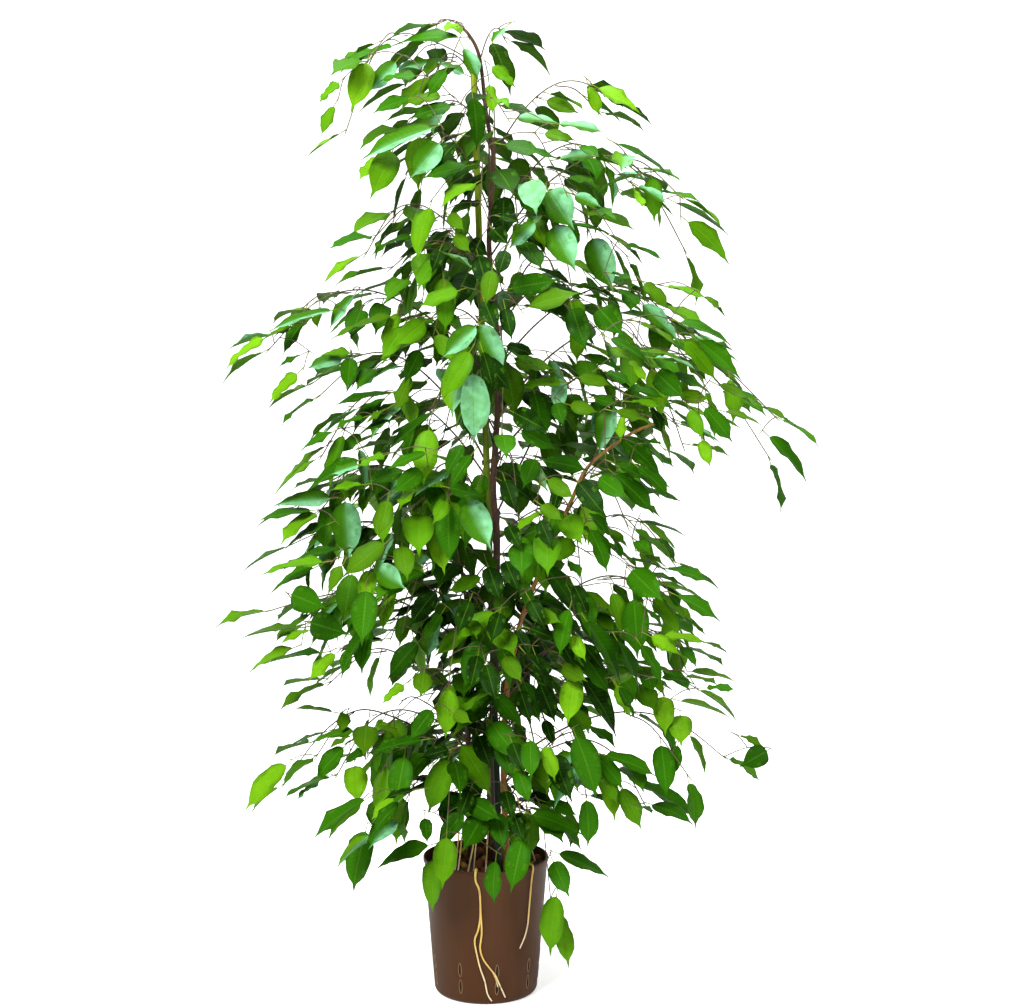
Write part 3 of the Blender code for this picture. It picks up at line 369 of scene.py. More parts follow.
    (347, 713, 340, 730, 14, 6), (350, 735, 329, 748, 5, 6), (366, 724, 364, 751, 26, 6),
    (400, 736, 375, 724, 8, 6), (432, 710, 411, 738, 18, 1), (420, 738, 368, 752, 13, 1),
    (365, 750, 346, 762, 10, 1), (342, 747, 313, 782, 17, 2), (318, 780, 295, 800, 7, 5),
    (402, 748, 372, 793, 16, 2), (362, 797, 308, 840, 13, 2), (392, 798, 371, 820, 14, 4),
    (397, 802, 370, 836, 13, 1), (412, 789, 382, 799, 7, 0), (469, 795, 432, 812, 12, 2),
    (462, 812, 436, 850, 18, 1), (448, 749, 419, 758, 13, 0), (453, 712, 470, 722, 14, 6),
    (495, 695, 520, 725, 18, 1), (500, 697, 525, 730, 12, 2), (524, 683, 540, 722, 20, 1),
    (540, 684, 556, 724, 20, 0), (528, 652, 559, 697, 7, 0), (535, 672, 553, 687, 12, 6),
    (562, 665, 585, 680, 18, 6), (574, 678, 568, 720, 24, 4), (586, 677, 620, 738, 18, 0),
    (583, 652, 612, 697, 18, 1), (547, 801, 580, 816, 12, 2), (533, 813, 585, 834, 18, 2),
    (545, 747, 556, 782, 16, 4), (470, 802, 498, 818, 22, 1), (518, 770, 528, 800, 18, 2),
    (530, 740, 531, 775, 20, 2), (490, 722, 517, 757, 26, 2), (483, 815, 466, 845, 26, 1),
    (495, 812, 503, 845, 20, 1), (515, 817, 522, 838, 14, 0), (597, 755, 625, 790, 18, 2),
    (601, 772, 620, 807, 11, 3), (622, 789, 643, 831, 19, 3), (640, 805, 652, 812, 5, 1),
    (607, 753, 660, 776, 14, 2), (640, 781, 703, 820, 14, 2), (768, 750, 741, 766, 22, 1),
    (741, 735, 767, 748, 6, 6),
)

# The crown's dense part, as seen from the front: a height in pixels, its left and its right.
CROWN = (
    (30, 470, 470), (60, 350, 485), (100, 350, 560), (140, 380, 640), (180, 350, 670),
    (216, 390, 650), (264, 350, 640), (312, 320, 690), (360, 310, 730), (408, 330, 745),
    (456, 290, 680), (504, 280, 660), (552, 280, 640), (600, 280, 690), (648, 270, 690),
    (690, 340, 680), (744, 330, 620), (792, 340, 640), (840, 350, 560), (880, 440, 520),
)

# Stretches of stem that show: the stem and the heights of their ends.
BARE = (
    (RIGHT, 0.39, 0.56), (RIGHT, 0.66, 0.82), (MAIN, 0.92, 1.02), (MAIN, 0.70, 0.86),
    (MAIN, 1.08, 1.20),
)

# Open gaps in the crown, as seen from the front: the middle, and half the width and height.
GAPS = (
    (530, 70, 30, 34), (700, 200, 26, 20), (625, 215, 18, 30), (550, 343, 14, 8),
    (312, 400, 36, 32), (372, 400, 18, 8), (425, 384, 14, 14), (438, 420, 16, 9), (372, 345, 14, 8),
    (262, 545, 14, 34), (372, 668, 34, 24), (298, 725, 50, 22), (400, 708, 34, 16),
    (625, 515, 26, 24), (600, 572, 28, 24), (690, 545, 30, 20), (715, 655, 30, 18),
    (640, 735, 44, 20), (700, 745, 34, 22), (592, 822, 14, 24), (545, 730, 14, 22),
    (420, 800, 12, 16), (655, 800, 14, 22), (340, 770, 14, 10), (466, 862, 40, 12),
    (534, 852, 14, 8), (396, 192, 9, 18), (540, 268, 26, 7), (602, 314, 20, 12), (640, 250, 22, 16),
    (540, 330, 20, 16), (632, 332, 12, 12), (690, 445, 16, 12), (404, 818, 14, 12),
)


def smooth_route(points: Iterable[Sequence[float]], step: float) -> Route:
    """Points every step or so along a smooth curve through the given points.

    Args:
        points: the curve's own points, in order.
        step: about how far apart the new points are.

    Returns:
        The new points, with every given one among them.
    """
    knots = [Vector(p) for p in points]
    knots = [2 * knots[0] - knots[1], *knots, 2 * knots[-1] - knots[-2]]
    route = [knots[1]]
    for a, b, c, d in zip(knots, knots[1:], knots[2:], knots[3:]):
        count = max(1, round((c - b).length / step))
        for i in range(1, count + 1):
            t = i / count
            route.append(0.5 * (2 * b + (c - a) * t + (2 * a - 5 * b + 4 * c - d) * t * t
                                + (3 * b - 3 * c + d - a) * t ** 3))
    return route


def tapered(route: Route, foot: float, top: float) -> Twig:
    """A twig along a route, with a radius that tapers evenly from foot to top."""
    last = len(route) - 1
    return Twig(route, [foot + (top - foot) * i / last for i in range(last + 1)])


def fine(twig: Twig, step: float) -> Twig:
    """A twig with points a step apart on a smooth curve, and radii to match.

    Args:
        twig: the twig to refine.
        step: about how far apart its new points are.

    Returns:
        The refined twig.
    """
    route = smooth_route(twig.route, step)
    counts = [max(1, round((b - a).length / step)) for a, b in zip(twig.route, twig.route[1:])]
    radii = [twig.radii[0]]
    for count, low, high in zip(counts, twig.radii, twig.radii[1:]):
        radii += [low + (high - low) * i / count for i in range(1, count + 1)]
    return Twig(route, radii)


def on_bearing(bearing: float, radius: float, height: float) -> Vector:
    """A point at a bearing from the front in degrees, a radius from the axis and a height."""
    turn = math.radians(bearing)
    return Vector((radius * math.sin(turn), -radius * math.cos(turn), height))


@dataclass(frozen=True)
class LeafRules:
    """How a leaf leaves its twig, and its blade. Angles are in degrees, a blade's width is a
    share of its length, and a pair is the range that a seeded draw is made from. The shell
    that a leaf is tested with, and the one kept for later tests, start partway up its stalk."""

    spread: Pair = (28, 62)
    pitch: Pair = (-36, -8)
    roll: Pair = (-15, 15)
    hanging_share: Pair = (0.10, 0.60)
    hanging_pitch: Pair = (-80, -58)
    front_depth: float = 0.12
    petiole: float = 0.014
    petiole_width: float = 0.0016
    blade_length: Pair = (0.060, 0.082)
    blade_width: Pair = (0.44, 0.52)
    thickness: float = 0.0009
    plan: tuple[Pair, ...] = ((0.66, 0.82), (0.26, 1.00))
    bend: Pair = (10, 34)
    fold: Pair = (6, 16)
    wave: Pair = (0.0012, 0.0030)
    wave_turn: float = 9.0
    wave_phase: float = 4000.0
    bend_start: float = 0.5
    lowest: float = 0.02
    clearance: float = 0.0009
    tries: int = 14
    outward: float = 0.35
    facing: Pair = (0.9, 0.7)
    shorter: float = 0.012
    tip_hand: float = 0.2
    tip_inset: float = 0.003
    tested_from: float = 0.5
    kept_from: float = 0.2

    def grow(self, root: Vector, ahead: Vector, hand: float, rng: Random, squeeze: float) -> Leaf:
        """Draws a leaf that leaves its twig on one side and sweeps outwards and down.

        Args:
            root: the node on the twig.
            ahead: the twig's direction there.
            hand: the side, 1 or -1, or nearly 0 where the leaf goes on from the tip.
            rng: the source of the draw.
            squeeze: a factor on the blade's length.

        Returns:
            The leaf.
        """
        outward = Vector((root.x, root.y, 0.0))
        outward = outward.normalized() if outward.length > 0.02 else Vector((0, -1, 0))
        level = Vector((ahead.x, ahead.y, 0.0))
        level = level.normalized() if level.length > 0.05 else outward
        spread = math.radians(rng.uniform(*self.spread)) * hand
        aim = Matrix.Rotation(spread, 3, "Z") @ level + self.outward * outward
        aim.z = 0.0
        aim.normalize()
        front = min(1.0, max(0.0, -root.y / self.front_depth))
        share = self.hanging_share[0] + (self.hanging_share[1] - self.hanging_share[0]) * front
        hangs = rng.random() < share
        pitch = math.radians(rng.uniform(*(self.hanging_pitch if hangs else self.pitch)))
        forward = math.cos(pitch) * aim + math.sin(pitch) * UP
        facing = self.facing[0] * UP + self.facing[1] * aim
        normal = (facing - facing.dot(forward) * forward).normalized()
        normal = Matrix.Rotation(math.radians(rng.uniform(*self.roll)), 3, forward) @ normal
        blade = rng.uniform(*self.blade_length) * squeeze
        return Leaf(root, forward, normal, blade + self.petiole, blade * rng.uniform(*self.blade_width),
                    math.radians(rng.uniform(*self.bend)), math.radians(rng.uniform(*self.fold)),
                    rng.uniform(*self.wave))

    def point(self, leaf: Leaf, along: float, across: float) -> Vector:
        """A point of a blade: along runs 0 to 1 from root to tip, across is in metres."""
        side = leaf.normal.cross(leaf.forward)
        turn = leaf.bend * max(0.0, along - self.bend_start) / (1 - self.bend_start)
        rest = (along - self.bend_start) * leaf.length if turn else 0.0
        ahead = min(along, self.bend_start) * leaf.length + rest * math.cos(turn / 2)
        fall = rest * math.sin(turn / 2)
        lift = 0.0
        if abs(across) > self.petiole_width:
            lift = abs(across) * math.sin(leaf.fold)
            ripple = math.sin(self.wave_turn * along + self.wave_phase * leaf.wave)
            lift += leaf.wave * math.copysign(1.0, across) * ripple
        level = math.sin(turn) * leaf.forward + math.cos(turn) * leaf.normal
        return (leaf.root + ahead * leaf.forward - fall * leaf.normal
                + across * math.cos(leaf.fold) * side + lift * level)

    def outline(self, leaf: Leaf) -> Route:
        """The eight outline points of a blade with its stalk, from the tip round to it."""
        stalk, half = self.petiole / leaf.length, leaf.width / 2
        left = [(stalk + along * (1 - stalk), across * half) for along, across in self.plan]
        left.append((stalk, self.petiole_width / 2))
        plan = [(1.0, 0.0), *left, (0.0, 0.0), *((a, -w) for a, w in reversed(left))]
        return [self.point(leaf, along, across) for along, across in plan]

    def shell(self, leaf: Leaf, start: float) -> Shell:
        """A leaf as a closed shell, a clearance thicker on each face.

        Args:
            leaf: the leaf.
            start: the share of the stalk that is left out.

        Returns:
            The shell's points and faces.
        """
        ring = self.outline(leaf)
        ring[4] = self.point(leaf, start * self.petiole / leaf.length, 0.0)
        flat = [*ring, self.point(leaf, self.bend_start, 0.0)]
        thick = (self.thickness / 2 + self.clearance) * leaf.normal
        points = [p + thick for p in flat] + [p - thick for p in flat]
        count = len(ring)
        faces: list[tuple[int, ...]] = []
        for i in range(count):
            j = (i + 1) % count
            a, b = count + 1 + i, count + 1 + j
            faces += [(i, j, count), (b, a, 2 * count + 1), (i, a, b, j)]
        return points, faces


@dataclass(frozen=True)
class WoodRules:
    """The branches' wood, as the solids have it. The radius at a branch's foot is a least
    size and what is added for each metre of its reach."""

    stem_step: float = 0.075
    foot_radius: Pair = (0.0015, 0.0055)
    tip_radius: float = 0.0015
    crest: Pair = (0.58, 0.70)
    sway: float = 0.06
    zigzag: float = 0.012
    turns: tuple[int, ...] = (0, 5, -5, 10, -10, 15, -15, 21, -21)
    long_axis: float = 0.20
    last_leaf: float = 0.052
    shoot_steps: int = 2
    shoot_reach: float = 0.19
    shoot_start: Pair = (0.50, 0.64)
    shoot_spread: Pair = (34, 58)
    shoot_length: Pair = (0.30, 0.42)
    shoot_bow: float = 0.06
    shoot_rise: float = 0.25
    shoot_droop: float = 0.70
    shoot_leaf: float = 0.6
    fewest_leaves: float = 1.2
    leaves_per_metre: float = 4.9
    leaf_start: float = 0.24
    leaf_span: float = 0.70
    gap: float = 0.0004


@dataclass(frozen=True)
class FillRules:
    """The shoots and leaves that grow between those of the solids."""

    shoots_per_metre: float = 11.0
    shoot_from: float = 0.20
    shoot_span: float = 0.72
    shoot_length: Pair = (0.050, 0.125)
    shoot_spread: Pair = (30, 66)
    shoot_stray: float = 0.04
    shoot_radii: Pair = (1.3 * 0.0011, 0.0011)
    shoot_free: float = 4 * 0.0011
    thinning: float = 0.3
    leaf_gap: float = 0.027
    own_gap: float = 0.012
    first_leaf: float = 0.045


@dataclass(frozen=True)
class SightedRules:
    """How a listed leaf is turned, and how it finds its twig. Before the front depth its tip
    leans to the viewer, behind it away, and lift takes its bend and its fold off its base, so
    that its middle lies where it is seen."""

    pixel: float = 0.0014
    front: float = 0.03
    blade_share: float = 0.46
    widest: float = 0.56
    shortest: float = 0.040
    lift: Pair = (0.10, 0.22)
    bend: Pair = (12, 24)
    fold: Pair = (6, 15)
    depth_cost: float = 0.35
    below_cost: float = 0.40
    farthest: float = 0.085
    holders: int = 30
    steps: tuple[float, ...] = (-0.012, -0.030, 0.008, -0.050, 0.028)
    knot_step: float = 0.012
    arch: float = 0.10
    bud: float = 0.011


@dataclass(frozen=True)
class InnerRules:
    """The small branches near the stems, which the solids leave out."""

    stems: tuple[tuple[StemName, float, float, int], ...] = (
        (MAIN, 0.36, 1.16, 36), (RIGHT, 0.34, 0.80, 12), (LEFT, 0.34, 0.68, 8),
        (MAIN, 0.25, 0.52, 10), (RIGHT, 0.25, 0.46, 6), (LEFT, 0.25, 0.46, 4),
    )
    place: Pair = (0.2, 0.8)
    golden_turn: float = 137.5
    stray: float = 40.0
    reach: Pair = (0.10, 0.24)
    rise: Pair = (0.25, 0.50)
    droop: Pair = (0.20, 0.55)
    first_leaf: float = 0.022


LEAF_RULES = LeafRules()
WOOD = WoodRules()
FILL = FillRules()
SIGHTED = SightedRules()
INNER = InnerRules()


@dataclass(frozen=True)
class Look:
    """A leaf's colouring, each from 0 to 1: its tone from dark to mid green, whose dark end is partly
    painted shade, how young it is, and its painted sheen, a pale reflection painted on one half of
    the blade or, past a half, on both."""

    tone: float
    age: float
    bloom: float = 0.0


# Shades of the placed leaves. The first, near black, is painted shade for the dim inside of the crown;
# the sixth and the last carry the painted sheen.
SHADES = (
    Look(0.0, 0.0), Look(0.52, 0.0), Look(0.82, 0.02), Look(1.0, 0.38), Look(1.0, 0.75),
    Look(0.7, 0.1, 0.5), Look(0.2, 0.32), Look(1.0, 0.2, 1.0),
)


class Thicket:
    """What has grown so far, as closed shells a clearance fatter than the pieces."""

    cell = 0.09

    def __init__(self) -> None:
        """Starts empty."""
        self.cells: dict[tuple[int, int, int], list[tuple[int, str, BVHTree]]] = {}

    def cells_of(self, points: Route) -> list[tuple[int, int, int]]:
        """The grid cells that the points' box touches."""
        lows = [math.floor(min(p[k] for p in points) / self.cell) for k in range(3)]
        highs = [math.floor(max(p[k] for p in points) / self.cell) for k in range(3)]
        return [(i, j, k) for i in range(lows[0], highs[0] + 1)
                for j in range(lows[1], highs[1] + 1) for k in range(lows[2], highs[2] + 1)]

    def clear(self, shell: Shell, but: Sequence[str] = ()) -> bool:
        """Whether a shell touches nothing, apart from the owners named in but."""
        points, faces = shell
        tree = BVHTree.FromPolygons(points, faces)
        seen = set()
        for cell in self.cells_of(points):
            for key, owner, other in self.cells.get(cell, ()):
                if key in seen or owner in but:
                    continue
                seen.add(key)
                if tree.overlap(other):
                    return False
        return True

    def add(self, shell: Shell, owner: str) -> None:
        """Adds a shell, which later ones have to clear."""
        points, faces = shell
        tree = BVHTree.FromPolygons(points, faces)
        for cell in self.cells_of(points):
            self.cells.setdefault(cell, []).append((id(tree), owner, tree))


def rod_shell(twig: Twig, start: float = 0.0) -> Shell:
    """A square tube round a twig, a clearance wider than its radii.

    Args:
        twig: the twig.
        start: how far along its first stretch the tube begins.

    Returns:
        The tube's points and faces.
    """
    route, ahead = twig.route, twig.route[1] - twig.route[0]
    route = [route[0] + min(start, 0.9 * ahead.length) * ahead.normalized(), *route[1:]]
    points: Route = []
    faces: list[tuple[int, ...]] = []
    for i in range(len(route)):
        ahead = route[min(i + 1, len(route) - 1)] - route[max(i - 1, 0)]
        side = ahead.cross(UP if abs(ahead.normalized().z) < 0.95 else Vector((1, 0, 0)))
        side.normalize()
        rise = side.cross(ahead).normalized()
        wide = (twig.radii[i] + LEAF_RULES.clearance) * math.sqrt(2)
        points += [route[i] + wide * v for v in (side, rise, -side, -rise)]
    rings = len(points) // 4
    for i in range(rings - 1):
        a, b = 4 * i, 4 * i + 4
        faces += [(a + j, a + (j + 1) % 4, b + (j + 1) % 4, b + j) for j in range(4)]
    return points, faces + [(0, 1, 2, 3), tuple(4 * rings - 1 - j for j in range(4))]


class Screen:
    """What the camera sees of the placed leaves, the gaps and the dense part of the crown:
    what grows later keeps out of the first two, and thins out towards the edge of the last."""

    cell = 4.0
    open_air = -9.0
    ramp = 70.0
    stem_step = 0.004

    def __init__(self) -> None:
        """Starts with the gaps, where nothing at any depth grows."""
        self.nearest: dict[tuple[int, int], float] = {}
        for x, y, wide, high in GAPS:
            for i in range(int((x - wide) / self.cell), int((x + wide) / self.cell) + 1):
                for j in range(int((y - high) / self.cell), int((y + high) / self.cell) + 1):
                    across, up = (i + 0.5) * self.cell - x, (j + 0.5) * self.cell - y
                    if (across / wide) ** 2 + (up / high) ** 2 < 1.0:
                        self.nearest[(i, j)] = math.inf

    def seen(self, leaf: Leaf, rows: int, columns: int) -> list[tuple[tuple[int, int], float]]:
        """The cells and depths of points spread over a leaf's blade."""
        spots = []
        for row in range(rows):
            along = 0.22 + 0.76 * row / (rows - 1)
            half = 0.5 * leaf.width * math.sin(math.pi * min(1.0, max(0.15, 1.02 - along)) ** 0.8)
            for column in range(columns):
                point = LEAF_RULES.point(leaf, along, half * (2 * column / (columns - 1) - 1))
                x, y = SIGHT.pixel(point)
                spots.append(((int(x / self.cell), int(y / self.cell)), point.y))
        return spots

    def fullness(self, point: Vector) -> float:
        """How full the crown is where a point shows: 0 outside it, 1 well inside."""
        x, y = SIGHT.pixel(point)
        for (top, left, right), (foot, left_below, right_below) in zip(CROWN, CROWN[1:]):
            if top <= y <= foot:
                down = (y - top) / (foot - top)
                left += (left_below - left) * down
                right += (right_below - right) * down
                return min(1.0, max(0.0, min(x - left, right - x) / self.ramp))
        return 0.0

    def bare(self, point: Vector) -> None:
        """Keeps the sight of a point on a stem free, a cell to each side."""
        x, y = SIGHT.pixel(point)
        for i in (-1, 0, 1):
            cell = int(x / self.cell) + i, int(y / self.cell)
            self.nearest[cell] = max(self.nearest.get(cell, self.open_air), point.y)

    def guard(self, leaf: Leaf) -> None:
        """Keeps the sight of a leaf free."""
        for cell, depth in self.seen(leaf, 14, 7):
            self.nearest[cell] = max(self.nearest.get(cell, self.open_air), depth)

    def blocks(self, leaf: Leaf) -> bool:
        """Whether a leaf would hide a placed one or close a gap."""
        return any(depth < self.nearest.get(cell, self.open_air)
                   for cell, depth in self.seen(leaf, 6, 3))


class Roots:
    """The roots that show: those that hang over the rim, and thin ones down to the fill."""

    step = 0.026
    standoff = 0.0027
    thin_radius = 0.0010
    hanging = {
        "hanging_root_front": (0.0018, 0.0010, (
            (-8.2, 0.187), (-5.4, 0.176), (-4.4, 0.161), (-4.5, 0.135), (-6.6, 0.115),
            (-10.1, 0.098), (-7.6, 0.074), (-4.9, 0.057), (-0.4, 0.0375), (2.4, 0.0185),
            (6.8, 0.008),
        )),
        "hanging_root_right": (0.0016, 0.0009, (
            (46.5, 0.183), (45.7, 0.154), (44.7, 0.115), (41.7, 0.098), (36.3, 0.082),
        )),
    }
    fork = (
        (-4.4, 0.147), (-3.2, 0.112), (-4.9, 0.088), (-1.8, 0.071), (4.5, 0.0575), (10.3, 0.0465),
        (15.2, 0.031), (21.5, 0.012),
    )
    side_root = ((7.4, 0.0520), (11.0, 0.040), (13.0, 0.029))
    aerial = (
        (LEFT, 0.300, (-0.060, -0.020)), (LEFT, 0.275, (-0.044, -0.034)),
        (MAIN, 0.310, (-0.018, -0.044)), (RIGHT, 0.300, (0.060, 0.004)),
        (RIGHT, 0.280, (0.052, -0.026)),
    )
    more_aerial = (
        (LEFT, 0.262, (-0.069, -0.010)), (LEFT, 0.250, (-0.040, -0.052)),
        (MAIN, 0.262, (-0.027, -0.060)), (MAIN, 0.250, (0.000, -0.052)),
        (RIGHT, 0.265, (0.074, 0.004)), (RIGHT, 0.250, (0.066, 0.022)),
    )
    shown_radius = 0.0012

    @classmethod
    def down_wall(cls, pairs: Sequence[Pair]) -> Route:
        """Points that hang just off the pot's wall, from (bearing, height) pairs."""
        return [on_bearing(bearing, POT.outer_radius(height) + cls.standoff, height)
                for bearing, height in pairs]

    @classmethod
    def over_rim(cls, pairs: Sequence[Pair]) -> Route:
        """A root's route out of the fill, over the rim and down the wall."""
        inside, rim, top = POT.inner_radius(POT.fill_level), POT.rim_radius, POT.height
        climb = ((inside - 0.018, POT.fill_level - 0.008), (inside - 0.009, top - 0.005),
                 (inside - 0.001, top + 0.0030), (rim + 0.0010, top + 0.0036),
                 (rim + 0.0034, top - 0.001))
        return [on_bearing(pairs[0][0], *spot) for spot in climb] + cls.down_wall(pairs)

    @classmethod
    def hanging_twig(cls, name: str) -> Twig:
        """A hanging root's main strand."""
        foot, tip, pairs = cls.hanging[name]
        return tapered(smooth_route(cls.over_rim(pairs), cls.step), foot, tip)

    @classmethod
    def fork_twig(cls) -> Twig:
        """The front root's second strand."""
        foot, tip, _ = cls.hanging["hanging_root_front"]
        return tapered(smooth_route(cls.down_wall(cls.fork), cls.step), 0.5 * (foot + tip), tip)

    @classmethod
    def aerial_twig(cls, stem: StemName, height: float, foot: Pair) -> Twig:
        """A thin root that hangs from a stem and ends in the fill."""
        start = stem_at(stem, height)[0]
        end = Vector((*foot, POT.fill_level - 0.004))
        knee = start.lerp(end, 0.55)
        knee.z = start.z - 0.012
        route = smooth_route([start, knee, end.lerp(knee, 0.5), end], 0.045)
        return tapered(route, cls.thin_radius, cls.thin_radius)


def stem_twig(name: StemName) -> Twig:
    """A stem's centre line and radii."""
    stem = STEMS[name]
    return tapered(smooth_route(stem.route, WOOD.stem_step), stem.foot_radius, stem.top_radius)


def stem_at(name: StemName, height: float) -> tuple[Vector, float]:
    """The centre and radius of a stem at a height."""
    twig = stem_twig(name)
    for i in range(len(twig.route) - 1):
        low, high = twig.route[i], twig.route[i + 1]
        if low.z <= height <= high.z:
            t = (height - low.z) / (high.z - low.z)
            return low.lerp(high, t), twig.radii[i] + (twig.radii[i + 1] - twig.radii[i]) * t
    return twig.route[-1], twig.radii[-1]


def point_on(route: Route, u: float) -> tuple[Vector, Vector]:
    """The point and the direction at a fraction of a route's steps."""
    place = min(max(u, 0.0), 0.9999) * (len(route) - 1)
    i = int(place)
    return route[i].lerp(route[i + 1], place - i), (route[i + 1] - route[i]).normalized()


class Growth:
    """The plant's growth: first what the solids hold, then what fills it in."""

    def __init__(self) -> None:
        """Plants the pot, the cane, the stems and the roots, and grows every branch."""
        self.thicket, self.screen = Thicket(), Screen()
        self.plant()
        self.branches = self.grow_core()
        self.roots = self.more_roots()
        self.inner = self.grow_inner()
        self.place_leaves()
        for stem, low, high in BARE:
            for point in fine(stem_twig(stem), self.screen.stem_step).route:
                if low < point.z < high:
                    self.screen.bare(point)
        for fill_in in (self.add_shoots, self.add_leaves):
            for branch in self.branches + self.inner:
                fill_in(branch)

    def plant(self) -> None:
        """Puts all that the branches grow round in the thicket."""
        spine = [Vector((0, 0, height)) for height in (0.002, 0.100, POT.height)]
        radii = [POT.base_radius, 0.5 * (POT.base_radius + POT.rim_radius), POT.rim_radius]
        standing = [("pot", Twig(spine, radii)), ("cane", CANE), ("fork", Roots.fork_twig())]
        standing += [(name.value, stem_twig(name)) for name in STEMS]
        standing += [(row[0].value, Roots.aerial_twig(*row)) for row in Roots.aerial]
        standing += [(name, Roots.hanging_twig(name)) for name in Roots.hanging]
        for owner, twig in standing:
            self.thicket.add(rod_shell(twig), owner)

    def more_roots(self) -> list[Twig]:
        """The aerial roots that the solids leave out, where there is room for them."""
        roots = []
        for row in Roots.more_aerial:
            root = Roots.aerial_twig(*row)
            if self.thicket.clear(rod_shell(root, 0.010), but=(row[0].value, "pot")):
                self.thicket.add(rod_shell(root), "aerial")
                roots.append(root)
        LOG.info("%d more aerial roots", len(roots))
        return roots

    @staticmethod
    def in_box(points: Iterable[Vector]) -> bool:
        """Whether the points are all well inside the solids' box."""
        low, high = CAD_BOX
        return all(low[k] + 0.002 < p[k] < high[k] - 0.002 for p in points for k in range(3))

    @staticmethod
    def axis(spray: Spray, turn: float) -> Twig:
        """A branch's axis: out and up from its stem, over, and down at the tip."""
        root, stem_radius = stem_at(spray.stem, spray.height)
        rng = Random(f"axis {spray.stem.value} {spray.height}")
        bearing = math.radians(spray.azimuth + turn)
        out = Vector((math.cos(bearing), math.sin(bearing), 0.0))
        reach = max(spray.reach - WOOD.last_leaf, 0.5 * spray.reach)
        side, sway = UP.cross(out), rng.uniform(-WOOD.sway, WOOD.sway) * reach
        crest = rng.uniform(*WOOD.crest)
        steps = 4 + (spray.reach > WOOD.long_axis)
        route = []
        for i in range(steps + 1):
            u = i / steps
            if u < crest:
                height = spray.rise * (1 - (1 - u / crest) ** 2)
            else:
                height = spray.rise - spray.droop * ((u - crest) / (1 - crest)) ** 1.7
            zigzag = WOOD.zigzag * reach * (-1) ** i * (0 < i < steps)
            route.append(root + reach * u * out + height * UP
                         + (sway * math.sin(math.pi * u) + zigzag) * side)
        foot = min(WOOD.foot_radius[0] + WOOD.foot_radius[1] * spray.reach, 0.8 * stem_radius)
        return tapered(route, max(foot, WOOD.tip_radius), WOOD.tip_radius)

    @staticmethod
    def shoot(axis: Route, u: float, hand: int, spread: float, length: float) -> Route:
        """A side shoot's route: it leaves the axis sideways and droops towards its tip."""
        root, ahead = point_on(axis, u)
        level = Vector((ahead.x, ahead.y, 0.0)).normalized()
        aim = math.cos(spread) * level + hand * math.sin(spread) * UP.cross(level)
        route = []
        for i in range(WOOD.shoot_steps + 1):
            t = i / WOOD.shoot_steps
            bow = WOOD.shoot_bow * length * math.sin(math.pi * t) * hand
            route.append(root + length * t * aim + bow * UP.cross(aim)
                         + length * (WOOD.shoot_rise * t - WOOD.shoot_droop * t * t) * UP)
        return route

    def settle(self, branches: list[Branch], name: str, spray: Spray, boxed: bool) -> bool:
        """Adds a branch with its axis alone, turned a little if need be so that it finds room.

        Args:
            branches: what it is added to.
            name: its name.
            spray: its course.
            boxed: whether it also has to stay inside the solids' box.

        Returns:
            Whether there was room.
        """
        start = stem_at(spray.stem, spray.height)[1] + 3 * WOOD.gap
        for turn in WOOD.turns:
            axis = self.axis(spray, turn)
            shell = rod_shell(axis, start)
            if boxed and not self.in_box(shell[0]):
                continue
            if self.thicket.clear(shell, but=(spray.stem.value,)):
                self.thicket.add(shell, name)
                branches.append(Branch(name, spray, [axis], []))
                return True
        return False

    def graft(self, branch: Branch, twig: Twig, start: float, boxed: bool = False) -> bool:
        """Adds a twig to a branch where it touches nothing.

        Args:
            branch: the branch.
            twig: the twig.
            start: how far along it the part begins that has to be clear.
            boxed: whether it also has to stay inside the solids' box.

        Returns:
            Whether there was room.
        """
        shell = rod_shell(twig, start)
        if boxed and not self.in_box(shell[0]) or not self.thicket.clear(shell, but=(branch.name,)):
            return False
        self.thicket.add(rod_shell(twig), branch.name)
        branch.twigs.append(twig)
        return True

    def bear(self, branch: Branch, leaf: Leaf) -> None:
        """Adds a leaf to a branch."""
        self.thicket.add(LEAF_RULES.shell(leaf, LEAF_RULES.kept_from), f"{branch.name} leaf")
        branch.leaves.append(leaf)

    def try_leaf(self, branch: Branch, root: Vector, ahead: Vector, hand: float, seed: str,
                 boxed: bool = False) -> None:
        """Adds the first of several draws of a leaf that touches nothing.

        Args:
            branch: the branch it grows on.
            root: its node on the twig.
            ahead: the twig's direction there.
            hand: the side it leaves on.
            seed: the seed of its draws.
            boxed: whether it also has to stay inside the solids' box and off what is seen.
        """
        rng = Random(seed)
        for attempt in range(LEAF_RULES.tries):
            leaf = LEAF_RULES.grow(root, ahead, hand, rng, 1.0 - LEAF_RULES.shorter * attempt)
            shell = LEAF_RULES.shell(leaf, LEAF_RULES.tested_from)
            if boxed and (not self.in_box(shell[0]) or self.screen.blocks(leaf)):
                continue
            if min(p.z for p in shell[0]) > LEAF_RULES.lowest and self.thicket.clear(shell):
                self.bear(branch, leaf)
                return

    def grow_core(self) -> list[Branch]:
        """The branches with the shoots and leaves that their solids have."""
        branches: list[Branch] = []
        for index, spray in enumerate(SPRAYS):
            name = f"branch_{index + 1:02d}"
            if not self.settle(branches, name, spray, boxed=False):
                LOG.warning("no room for %s", name)
        for grow in (self.core_shoot, self.core_leaves):
            for branch in branches:
                grow(branch)
        return branches

